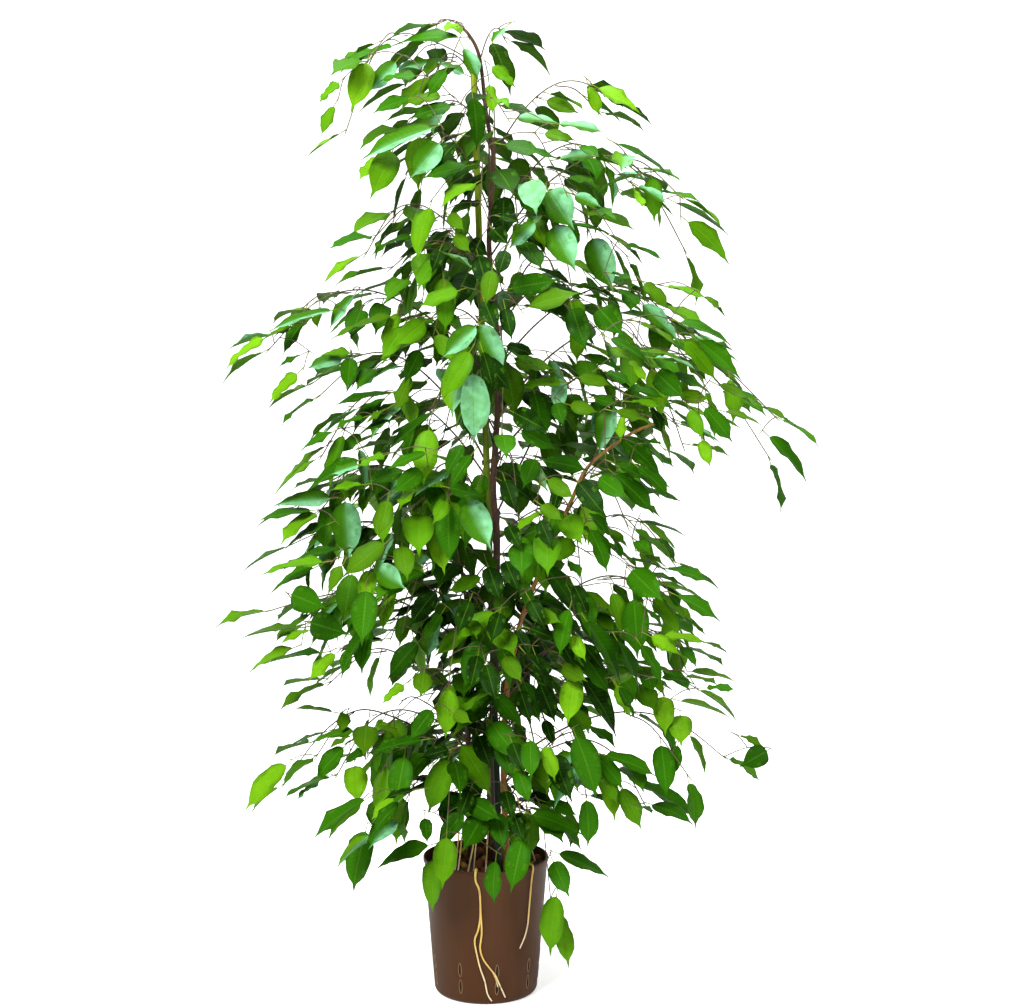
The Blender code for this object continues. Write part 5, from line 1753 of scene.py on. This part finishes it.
@dataclass(frozen=True)
class LeafFinish:
    """The leaves: dark to mid green, yellow-green while young, paler below, with painted shade at
    the margins and inside the crown, and a painted sheen of reflected light.
    """

    dark: Colour = (0.003, 0.014, 0.0005)
    middle: Colour = (0.024, 0.128, 0.001)
    young: Colour = (0.165, 0.385, 0.006)
    sheen_colour: Colour = (0.185, 0.480, 0.250)
    under: Colour = (0.050, 0.150, 0.006)
    rib: Colour = (0.130, 0.320, 0.020)
    stalk: Colour = (0.160, 0.220, 0.020)
    roughness: Pair = (0.40, 0.60)
    veins: float = 15.0

    def material(self) -> bpy.types.Material:
        """Wires the material."""
        wires = ShaderWiring("fig_leaf", self.roughness[0], 0.06, (0.50, 1.0, 0.45))
        along, under, edge, bloom = (
            wires.attribute(name) for name in ("along", "under", "edge", "bloom"))
        veins = wires.put("ShaderNodeGroup", {"Along": along, "Edge": edge, "Count": self.veins},
                          node_tree=vein_group()).outputs
        # The tone's dark end is partly painted shade for the inside of the crown.
        colour = wires.blend(wires.attribute("tone"), self.dark, self.middle)
        colour = wires.blend(wires.attribute("age"), colour, self.young)
        cloud = wires.noise(70.0)
        colour = wires.blend(wires.step(cloud, 0.35, 0.75, (0.0, 0.22)), colour, self.middle)
        # Painted shade: the margins darken towards the dark green, most towards the blade's base.
        rim = wires.step(wires.math("ABSOLUTE", edge), 0.45, 1.0, (0.0, 0.45))
        colour = wires.blend(wires.product(rim, wires.step(along, 0.9, 0.3)), colour, self.dark)
        # Painted sheen: a pale blue-green reflection painted on one side of the midrib, or on the whole
        # blade, in soft patches.
        sheen_mask = wires.step(wires.math("MULTIPLY_ADD", bloom, 4.0, edge), 1.6, 2.6)
        sheen_mask = wires.product(sheen_mask, wires.step(cloud, 0.25, 0.75, (0.45, 1.0)),
                            wires.step(bloom, 0.2, 0.4))
        colour = wires.blend(sheen_mask, colour, self.sheen_colour)
        colour = wires.blend(wires.product(under, 0.75), colour, self.under)
        rib, side = veins["Rib"], veins["Veins"]
        pale = wires.math("ADD", wires.product(rib, 0.20), wires.product(side, 0.06))
        colour = wires.blend(pale, colour, self.rib)
        colour = wires.blend(wires.step(along, -0.02, 0.01, (1.0, 0.0)), colour, self.stalk)
        upper, lower = self.roughness
        rough = wires.math("MULTIPLY_ADD", under, lower - upper, upper)
        rough = wires.math("ADD", rough, wires.step(cloud, 0.3, 0.7, (-0.04, 0.05)))
        height = wires.math("ADD", wires.product(side, -0.45), wires.product(rib, -1.0))
        height = wires.math("ADD", height, wires.product(wires.noise(260.0), 0.5))
        return wires.finish(colour, rough, height, depth=0.00035)


@dataclass(frozen=True)
class BarkFinish:
    """Wood: one colour when old and another where it is still growing."""

    name: str
    old: Colour
    fresh: Colour
    spots: Colour
    roughness: float = 0.62
    depth: float = 0.0005

    def material(self) -> bpy.types.Material:
        """Wires the material."""
        wires = ShaderWiring(self.name, self.roughness)
        grain = wires.noise(160.0, 5.0, (1.0, 1.0, 0.22))
        colour = wires.blend(wires.step(wires.attribute("grown"), 0.15, 0.95), self.old, self.fresh)
        cracks = tuple(0.42 * c for c in self.old)
        colour = wires.blend(wires.step(grain, 0.30, 0.70, (0.65, 0.0)), colour, cracks)
        spots, _ = wires.speckle(230.0, 0.22)
        colour = wires.blend(wires.product(spots, 0.55), colour, self.spots)
        rough = wires.step(grain, 0.3, 0.7, (self.roughness + 0.1, self.roughness - 0.1))
        height = wires.math("ADD", grain, wires.product(spots, 0.5))
        return wires.finish(colour, rough, height, self.depth)


@dataclass(frozen=True)
class RootFinish:
    """Young roots: straw yellow, whitish at the growing tip."""

    straw: Colour = (0.620, 0.410, 0.090)
    tip: Colour = (0.780, 0.640, 0.420)
    brown: Colour = (0.420, 0.210, 0.060)

    def material(self) -> bpy.types.Material:
        """Wires the material."""
        wires = ShaderWiring("fig_root", 0.50)
        colour = wires.blend(wires.step(wires.attribute("grown"), 0.55, 0.95), self.straw, self.tip)
        stain = wires.noise(90.0, 4.0)
        colour = wires.blend(wires.step(stain, 0.50, 0.80, (0.0, 0.8)), colour, self.brown)
        rough = wires.step(stain, 0.3, 0.7, (0.42, 0.62))
        return wires.finish(colour, rough, wires.noise(420.0, 4.0), 0.0004)


@dataclass(frozen=True)
class CaneFinish:
    """The painted stake: near-black green below as painted shade, yellow-green above as a painted
    sunlit highlight.
    """

    low: Colour = (0.004, 0.016, 0.003)
    high: Colour = (0.220, 0.310, 0.012)
    shade_to_light: Pair = (0.35, 1.20)

    def material(self) -> bpy.types.Material:
        """Wires the material."""
        wires = ShaderWiring("green_cane", 0.42, 0.15)
        height = wires.put("ShaderNodeSeparateXYZ", {0: wires.place()}).outputs["Z"]
        # Painted light by height: shade below, a sunlit highlight above.
        colour = wires.blend(wires.step(height, *self.shade_to_light), self.low, self.high)
        grain = wires.noise(240.0, 5.0, (1.0, 1.0, 0.06))
        darker = tuple(0.5 * c for c in self.low)
        colour = wires.blend(wires.step(grain, 0.35, 0.7, (0.4, 0.0)), colour, darker)
        return wires.finish(colour, wires.step(grain, 0.3, 0.7, (0.36, 0.52)), grain, 0.0003)


@dataclass(frozen=True)
class PlasticFinish:
    """The pot's moulded plastic, with a fine skin and faint upright flow marks."""

    name: str = "brown_plastic"
    body: Colour = (0.056, 0.0215, 0.0085)
    scuff: Colour = (0.084, 0.037, 0.018)

    def material(self) -> bpy.types.Material:
        """Wires the material."""
        wires = ShaderWiring(self.name, 0.46, 0.16, (1.0, 0.80, 0.60))
        flow = wires.noise(30.0, 3.0, (1.0, 1.0, 0.15))
        skin = wires.noise(900.0, 2.0)
        colour = wires.blend(wires.step(flow, 0.40, 0.75, (0.0, 0.35)), self.body, self.scuff)
        rough = wires.step(flow, 0.3, 0.7, (0.40, 0.52))
        return wires.finish(colour, rough, wires.math("MULTIPLY_ADD", skin, 0.35, flow), 0.00035)


@dataclass(frozen=True)
class ClayFinish:
    """Fired clay granules: reddish brown to near black, a few ochre, with pores."""

    red: Colour = (0.220, 0.054, 0.014)
    black: Colour = (0.018, 0.010, 0.008)
    ochre: Colour = (0.500, 0.240, 0.035)

    def material(self) -> bpy.types.Material:
        """Wires the material."""
        wires = ShaderWiring("clay_granules", 0.88)
        tone = wires.attribute("tone")
        colour = wires.blend(wires.step(tone, 0.1, 0.7), self.black, self.red)
        colour = wires.blend(wires.step(tone, 0.80, 0.88), colour, self.ochre)
        spots, cloud = wires.speckle(900.0, 0.30)
        colour = wires.blend(wires.product(spots, 0.6), colour, self.black)
        colour = wires.blend(wires.product(cloud, 0.15), colour, self.ochre, "SCREEN")
        return wires.finish(colour, None, wires.math("SUBTRACT", cloud, spots), 0.0006)


@dataclass(frozen=True)
class PaperFinish:
    """The studio's plain white floor, overexposed as in a cut-out picture."""

    white: Colour = (0.93, 0.93, 0.93)
    glow: float = 0.62

    def material(self) -> bpy.types.Material:
        """Wires the material."""
        wires = ShaderWiring("white_floor", 0.9, 0.0)
        seen = wires.put("ShaderNodeLightPath").outputs["Is Camera Ray"]
        wires.feed(wires.shader["Emission Color"], (1.0, 1.0, 1.0))
        wires.feed(wires.shader["Emission Strength"], wires.product(seen, self.glow))
        return wires.finish(self.white)


SPECKLE = speckle_group()


def dressed(piece: bpy.types.Object, slot: Slot, *nodes: str) -> bpy.types.Object:
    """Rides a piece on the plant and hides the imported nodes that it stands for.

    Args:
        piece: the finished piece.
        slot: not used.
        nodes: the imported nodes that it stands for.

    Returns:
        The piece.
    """
    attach(piece, ROOT_BODY)
    if nodes:
        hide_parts(*nodes)
    LOG.info("%s: %d faces", piece.name, len(piece.data.polygons))
    return piece


def turned(name: str, profile: Sequence[Pair], sides: int,
           material: bpy.types.Material) -> bpy.types.Object:
    """A turned solid.

    Args:
        name: its name.
        profile: (radius, height) pairs down the outer side, from axis to axis.
        sides: the steps of a full turn.
        material: its material.

    Returns:
        The object, closed and with its faces pointing out.
    """
    form = bmesh.new()
    line = [form.verts.new((radius, 0.0, height)) for radius, height in profile]
    edges = [form.edges.new(pair) for pair in zip(line, line[1:])]
    bmesh.ops.spin(form, geom=line + edges, axis=(0, 0, 1), cent=(0, 0, 0), angle=2 * math.pi,
                   steps=sides)
    bmesh.ops.remove_doubles(form, verts=form.verts, dist=1e-5)
    bmesh.ops.recalc_face_normals(form, faces=form.faces)
    obj = add_object(name, as_mesh(name, form))
    obj.data.materials.append(material)
    return obj


@dataclass(frozen=True)
class CulturePot:
    """The slotted pot: a turned wall, slots in two rows, and a raised frame round each."""

    form: PotForm = POT
    sides: int = 144
    base_rounding: float = 0.009
    lip_rounding: float = 0.0009
    slot_count: int = 9
    slot_start: float = -67.5
    slot_width: float = 0.0034
    slot_height: float = 0.017
    slot_rows: Pair = (0.026, 0.051)
    frame_radius: float = 0.00055
    frame_gap: Pair = (0.0008, 0.0018)
    frame_points: int = 24

    @staticmethod
    def arc(centre: Pair, radius: float, start: float, end: float, steps: int) -> list[Pair]:
        """Points on an arc of the profile, with angles in degrees from straight out."""
        turns = [math.radians(start + (end - start) * i / steps) for i in range(steps + 1)]
        return [(centre[0] + radius * math.cos(turn), centre[1] + radius * math.sin(turn))
                for turn in turns]

    def profile(self) -> list[Pair]:
        """The wall's section, from the floor inside, over the lip and down the outside."""
        form, lip, r = self.form, self.lip_rounding, self.base_rounding
        foot, shoulder = form.height - form.lip_height, form.height - lip
        inside = [(0.0, form.floor), (form.inner_radius(form.floor) - 0.003, form.floor),
                  (form.inner_radius(0.006), 0.006), (form.inner_radius(form.height), shoulder)]
        top = self.arc((form.inner_radius(form.height) + lip, shoulder), lip, 180, 90, 4)
        over = self.arc((form.rim_radius - lip, shoulder), lip, 90, 0, 4)
        under = [(form.rim_radius, foot + form.lip_depth), (form.outer_radius(foot) + 0.0002, foot),
                 (form.outer_radius(foot - 0.002), foot - 0.002)]
        wall = [(form.outer_radius(z), z) for z in (0.150, 0.110, 0.070, 0.030)]
        corner = self.arc((form.outer_radius(r) - r, r), r, 0, -90, 8)
        return [*inside, *top, *over, *under, *wall, *corner, (0.0, 0.0)]

    def slots(self) -> list[Pair]:
        """Each slot's bearing, in radians from +X, and the height of its middle."""
        return [(math.radians(self.slot_start - 90 + 360 / self.slot_count * i), row)
                for i in range(self.slot_count) for row in self.slot_rows]

    def cut_slots(self, pot: bpy.types.Object) -> None:
        """Cuts the slots through the wall."""
        form = bmesh.new()
        size = Matrix.Diagonal((8 * self.form.wall, self.slot_width, self.slot_height, 1.0))
        for bearing, row in self.slots():
            out = Matrix.Translation((self.form.outer_radius(row), 0.0, row))
            turn = Matrix.Rotation(bearing, 4, "Z")
            bmesh.ops.create_cube(form, size=1.0, matrix=turn @ out @ size)
        cutter = add_object("slot_cutter", as_mesh("slot_cutter", form))
        step = pot.modifiers.new("slots", "BOOLEAN")
        step.operation = "DIFFERENCE"
        step.object = cutter
        keep_result(pot, step)
        bpy.data.objects.remove(cutter)

    def slot_frames(self) -> list[Twig]:
        """The fine raised line round each slot, pointed at its top and foot."""
        frames = []
        for bearing, row in self.slots():
            route = []
            for i in range(self.frame_points):
                turn = 2 * math.pi * i / self.frame_points
                high = row + (0.5 * self.slot_height + self.frame_gap[1]) * math.sin(turn)
                wide = (0.5 * self.slot_width + self.frame_gap[0]) * math.cos(turn)
                wide *= abs(math.cos(turn)) ** 0.2
                radius = self.form.outer_radius(high) + 0.0001
                angle = bearing + wide / radius
                route.append(Vector((radius * math.cos(angle), radius * math.sin(angle), high)))
            route.append(route[0])
            frames.append(Twig(route, [self.frame_radius] * len(route)))
        return frames

    def build(self, mill: WoodMill) -> None:
        """Makes the pot and its slot frames."""
        plastic = PlasticFinish().material()
        pot = turned("culture_pot", self.profile(), self.sides, plastic)
        self.cut_slots(pot)
        pot.data.shade_smooth()
        pot.data.set_sharp_from_angle(angle=math.radians(35))
        dressed(pot, Slot.POT, "pot")
        # The raised frames are coloured far lighter than the pot: a painted highlight where light
        # catches their rims.
        glint_finish = PlasticFinish("worn_plastic", (0.200, 0.115, 0.060), (0.360, 0.250, 0.160))
        dressed(mill.make("pot_slot_frames", self.slot_frames(), glint_finish.material(), sides=6, step=0.01),
                Slot.POT)


class ClayFill:
    """The clay granules: two layers on a bed that fills the pot."""

    bed_drop = 0.006
    layers = ((0.180, 0.0065), (0.1865, 0.0060))
    sizes = (0.0046, 0.0080)
    draws = 6000
    jitter = 0.0012
    packing = 1.55

    def __init__(self) -> None:
        """Builds the tree that sets a lumpy granule on each point."""
        build = TreeBuilder("granules", {"Lumps": "Float", "Seed": "Int"})
        ball = build.put("GeometryNodeMeshIcoSphere", {"Radius": 1.0, "Subdivisions": 2})
        seed = build.source["Seed"]
        turn = build.put("FunctionNodeRandomValue", {1: (6.283, 6.283, 6.283), "Seed": seed},
                         data_type="FLOAT_VECTOR")
        shape = build.put("FunctionNodeRandomValue", {
            0: (0.85, 0.75, 0.70), 1: (1.15, 1.0, 0.95), "Seed": build.math("ADD", seed, 1.0),
        }, data_type="FLOAT_VECTOR")
        size = build.scaled(shape.outputs[0], build.attribute("size"))
        grains = build.then("GeometryNodeInstanceOnPoints", build.source["Geometry"], {
            "Instance": ball.outputs[0], "Rotation": turn.outputs[0], "Scale": size})
        grains = build.then("GeometryNodeRealizeInstances", grains)
        place = build.put("GeometryNodeInputPosition").outputs[0]
        self.tree = build.end(build.roughen(grains, place, 170.0, 2.0, build.source["Lumps"]))

    def places(self, keep_off: Sequence[tuple[Vector, float]]) -> tuple[Route, list[float]]:
        """Draws where the granules lie.

        Args:
            keep_off: (point, radius) pairs of what stands in the fill.

        Returns:
            The granules' centres and radii.
        """
        rng = Random("granule places")
        centres: Route = []
        radii: list[float] = []
        for level, spacing in self.layers:
            layer: Route = []
            for _ in range(self.draws):
                size = rng.uniform(*self.sizes)
                reach = (POT.inner_radius(level) - size - 0.0004) * math.sqrt(rng.random())
                turn = rng.uniform(0, 2 * math.pi)
                place = Vector((reach * math.cos(turn), reach * math.sin(turn),
                                level + rng.uniform(-self.jitter, self.jitter)))
                if any((place - other).length < self.packing * spacing for other in layer):
                    continue
                if any(math.hypot(place.x - p.x, place.y - p.y) < r + 0.8 * size
                       for p, r in keep_off):
                    continue
                layer.append(place)
                centres.append(place)
                radii.append(size)
        return centres, radii

    def build(self, keep_off: Sequence[tuple[Vector, float]]) -> None:
        """Makes the granules and the bed under them."""
        clay = ClayFinish().material()
        centres, radii = self.places(keep_off)
        rng = Random("granule tones")
        tones = [rng.random() for _ in centres]
        mesh = point_mesh("clay_granule_layer", centres, {"size": radii, "tone": tones})
        grains = run_tree("clay_granule_layer", mesh, self.tree,
                          {"Lumps": 0.0022, "Seed": 5, "Material": clay})
        dressed(grains, Slot.GRANULE, "clay_granules")
        foot, top, shy = POT.floor + WOOD.gap, POT.fill_level - self.bed_drop, POT.wall + WOOD.gap
        profile = [(0.0, top), (POT.outer_radius(top) - shy, top),
                   (POT.outer_radius(foot) - shy, foot), (0.0, foot)]
        bed = turned("clay_granule_bed", profile, 64, clay)
        bed.data.shade_flat()
        dressed(bed, Slot.GRANULE)


class Woody:
    """The cane, the stems and the roots."""

    def __init__(self, mill: WoodMill, aerial: Sequence[Twig]) -> None:
        """Takes the mill that makes them, and the aerial roots that grew last."""
        self.mill, self.aerial = mill, aerial

    def standing(self) -> list[tuple[Vector, float]]:
        """Where the cane, the stems and the roots pass through the fill's top."""
        foot, top = CANE.route
        along = (POT.fill_level - foot.z) / (top.z - foot.z)
        spots = [(foot.lerp(top, along), CANE.radii[0])]
        spots += [stem_at(name, POT.fill_level) for name in STEMS]
        spots += [(Vector((*foot, POT.fill_level)), Roots.thin_radius)
                  for _, _, foot in Roots.aerial + Roots.more_aerial]
        spots += [(point, 0.002) for name in Roots.hanging
                  for point in Roots.hanging_twig(name).route[:3]]
        return spots

    def build(self) -> None:
        """Makes every piece."""
        piece = self.mill.make(
            "green_cane", [CANE], CaneFinish().material(), sides=16, step=0.012, relief=0.05)
        dressed(piece, Slot.CANE, "cane")
        self.stems()
        self.roots()

    def stems(self) -> None:
        """Makes the stems with rough bark."""
        bark = BarkFinish("stem_bark", (0.060, 0.018, 0.007), (0.110, 0.045, 0.014),
                          (0.230, 0.100, 0.040)).material()
        amber = BarkFinish("right_stem_bark", (0.400, 0.140, 0.014), (0.320, 0.150, 0.018),
                           (0.560, 0.300, 0.070)).material()
        finishes = {MAIN: bark, RIGHT: amber, LEFT: bark}
        for name in STEMS:
            piece = self.mill.make(f"{name.value}_stem_bark", [stem_twig(name)], finishes[name],
                                   sides=14, step=0.005, relief=0.22, relief_scale=120.0)
            dressed(piece, Slot.BARK, f"{name.value}_stem")

    def roots(self) -> None:
        """Makes the hanging roots and the thin aerial ones."""
        finish = RootFinish().material()
        for name in Roots.hanging:
            strands = [Roots.hanging_twig(name)]
            if name == "hanging_root_front":
                side = Roots.down_wall(Roots.side_root)
                strands += [Roots.fork_twig(), tapered(side, 0.0010, 0.0007)]
            piece = self.mill.make(f"{name}_strands", strands, finish, sides=10, step=0.003,
                                   relief=0.35, relief_scale=200.0)
            dressed(piece, Slot.ROOT, name)
        thin = [Roots.aerial_twig(*row) for row in Roots.aerial] + list(self.aerial)
        thin = [replace(twig, radii=[Roots.shown_radius] * len(twig.radii)) for twig in thin]
        piece = self.mill.make("aerial_roots", thin, finish, sides=8, step=0.004, relief=0.3)
        dressed(piece, Slot.ROOT)


class Foliage:
    """The branches' finer wood and leaves, two pieces for each branch's node."""

    bud_length = 0.009
    bud_radius = 0.0004
    root_step = 0.004
    slimness = 0.58
    finest = 0.00085
    taper = 0.40
    inner_parts = 4
    light_depth = 0.125
    bearing_reach = 0.008

    def __init__(self, growth: Growth, wood: WoodMill, leaves: LeafMill) -> None:
        """Takes the grown plant and the mills.

        Args:
            growth: the grown plant.
            wood: what makes the twigs.
            leaves: what makes the leaves.
        """
        self.growth, self.wood, self.leaves = growth, wood, leaves
        self.bark = BarkFinish("twig_bark", (0.070, 0.036, 0.014), (0.090, 0.100, 0.018),
                               (0.200, 0.140, 0.060), depth=0.0003).material()
        self.leaf = LeafFinish().material()

    def budded(self, twig: Twig) -> Twig:
        """A twig with the pointed bud at its tip."""
        radii = [min(self.slimness * radius,
                     self.finest + self.taper * max(0.0, radius - WOOD.tip_radius))
                 for radius in twig.radii]
        tip = twig.route[-1] + self.bud_length * twig.heading()
        return Twig([*twig.route, tip], [*radii, self.bud_radius])

    def clipped(self, twig: Twig, borne: Sequence[Vector]) -> Twig:
        """A twig without the bare end past the last leaf or shoot that it bears.

        Args:
            twig: the twig.
            borne: where the branch's leaves and other twigs start.

        Returns:
            The twig, or its near part.
        """
        line = fine(twig, self.root_step)
        bearing = [i for i, spot in enumerate(line.route)
                   if any((spot - point).length < self.bearing_reach for point in borne)]
        end = max(bearing, default=0) + 2
        return Twig(line.route[:end], line.radii[:end]) if end < len(line.route) - 1 else twig

    def seated(self, leaf: Leaf, routes: Sequence[Route]) -> Leaf:
        """A leaf moved the millimetre or so that puts its root on the smoothed twig."""
        spots = [point for route in routes for point in route]
        near = min(spots, key=lambda point: (point - leaf.root).length_squared)
        return replace(leaf, root=near)

    def look(self, branch: Branch, leaf: Leaf, rng: Random) -> Look:
        """How a leaf is coloured: darker towards the stems, as painted shade, partly also the darker
        green of older leaves, and often yellow-green at a tip.
        """
        draws = [rng.random() for _ in range(4)]
        if leaf.shade is not None:
            return SHADES[leaf.shade]
        start = branch.twigs[0].route[0]
        out = (leaf.root - start).length / max(branch.spray.reach, 0.05)
        top = 0.25 if leaf.root.z > 1.15 else 0.0
        young = draws[0] < 0.05 + 0.35 * max(0.0, out - 0.45) + top
        # Painted shade: leaves nearer the axis get a darker tone.
        light = min(1.0, math.hypot(leaf.root.x, leaf.root.y) / self.light_depth)
        age = 0.3 + 0.5 * draws[1] if young else 0.60 * light * draws[1] ** 2
        # Some outer leaves get a painted sheen of reflected light on half the blade.
        bloom = 0.5 * (draws[3] < 0.09 * light)
        return Look(light ** 1.8 * (0.62 + 0.38 * draws[2]), age * light, bloom)

    def build(self) -> int:
        """Makes every branch and returns how many leaves there are."""
        total = sum(self.pair(branch.name, [branch], branch.name) for branch in self.growth.branches)
        inner, parts = self.growth.inner, self.inner_parts
        for part in range(parts):
            some = inner[part * len(inner) // parts:(part + 1) * len(inner) // parts]
            total += self.pair(f"inner_{part + 1}", some)
        self.leaves.put_away()
        return total

    def pair(self, name: str, branches: Sequence[Branch], *nodes: str) -> int:
        """Makes the twigs and the leaves of some branches.

        Args:
            name: the start of both pieces' names.
            branches: the branches.
            nodes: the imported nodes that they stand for.

        Returns:
            How many leaves there are.
        """
        twigs, leaves, looks = [], [], []
        for branch in branches:
            routes = [fine(twig, self.root_step).route for twig in branch.twigs]
            for twig in branch.twigs:
                borne = [leaf.root for leaf in branch.leaves]
                borne += [other.route[0] for other in branch.twigs if other is not twig]
                twigs.append(self.budded(self.clipped(twig, borne)))
            grown = [self.seated(leaf, routes) for leaf in branch.leaves]
            rng = Random(f"looks {branch.name}")
            looks += [self.look(branch, leaf, rng) for leaf in grown]
            leaves += grown
        wood = self.wood.make(f"{name}_twigs", twigs, self.bark, sides=6, relief=0.25,
                              relief_scale=260.0)
        dressed(wood, Slot.BARK, *nodes)
        dressed(self.leaves.make(f"{name}_leaves", leaves, looks, self.leaf), Slot.LEAF, *nodes)
        return len(leaves)


@dataclass(frozen=True)
class Studio:
    """The photograph's camera, a white sweep and soft light."""

    world: float = 0.19
    sweep: Colour = (3.0, 1.5, 6.0)
    aim: Colour = (0.04, 0.0, 0.7)

    def camera(self) -> None:
        """Makes the camera."""
        data = bpy.data.cameras.new("camera")
        data.lens = SIGHT.lens
        data.sensor_width = SIGHT.sensor
        data.clip_start, data.clip_end = 0.1, 60.0
        camera = add_object("camera", data)
        camera.location = SIGHT.place
        camera.rotation_euler = (math.radians(90 - SIGHT.pitch), 0, 0)
        bpy.context.scene.camera = camera

    def floor(self) -> None:
        """Makes the floor, which sweeps up behind the plant."""
        depth, bend, half = self.sweep
        turns = [math.radians(angle) for angle in range(10, 91, 10)]
        profile = [(-4.0, 0.0), (depth, 0.0)]
        profile += [(depth + bend * math.sin(t), bend - bend * math.cos(t)) for t in turns]
        profile.append((depth + bend, half))
        form = bmesh.new()
        left, right = ([form.verts.new((x, y, z)) for y, z in profile] for x in (-half, half))
        for corners in zip(left, right, right[1:], left[1:]):
            form.faces.new(corners)
        floor = add_object("floor", as_mesh("floor", form))
        floor.data.shade_smooth()
        floor.data.materials.append(PaperFinish().material())

    def area(self, name: str, place: Colour, size: float, power: float, colour: Colour) -> None:
        """Adds a square lamp that looks at the plant's middle."""
        data = bpy.data.lights.new(name, "AREA")
        data.size = size
        data.energy = power
        data.color = colour
        lamp = add_object(name, data)
        lamp.location = place
        way = Vector(self.aim) - lamp.location
        lamp.rotation_euler = way.to_track_quat("-Z", "Y").to_euler()

    def build(self) -> None:
        """Sets up all of it."""
        self.camera()
        self.floor()
        self.area("key", (-1.5, -2.4, 3.0), 1.4, 212.0, (1.0, 1.0, 0.98))
        self.area("top", (0.3, 0.2, 3.6), 1.8, 150.0, (1.0, 1.0, 1.0))
        self.area("fill", (2.4, -2.0, 1.4), 1.6, 35.0, (1.0, 1.0, 0.97))
        world = bpy.data.worlds.new("studio")
        world.use_nodes = True
        wires = Wiring(world.node_tree)
        seen = wires.put("ShaderNodeLightPath").outputs["Is Camera Ray"]
        strength = wires.math("MULTIPLY_ADD", seen, 1.0 - self.world, self.world)
        background = world.node_tree.nodes["Background"].inputs
        wires.feed(background["Color"], (1.0, 1.0, 1.0))
        wires.feed(background["Strength"], strength)
        bpy.context.scene.world = world
        bpy.context.scene.view_settings.view_transform = "Standard"


def main() -> None:
    """Builds the plant and the studio."""
    logging.basicConfig(level=logging.INFO, format="%(name)s %(message)s")
    growth = Growth()
    LOG.info("grown: %d branches", len(growth.branches))
    wood_mill = WoodMill()
    CulturePot().build(wood_mill)
    woody = Woody(wood_mill, growth.roots)
    woody.build()
    ClayFill().build(woody.standing())
    LOG.info("%d leaves", Foliage(growth, wood_mill, LeafMill()).build())
    Studio().build()


if __name__ == "__main__":
    main()
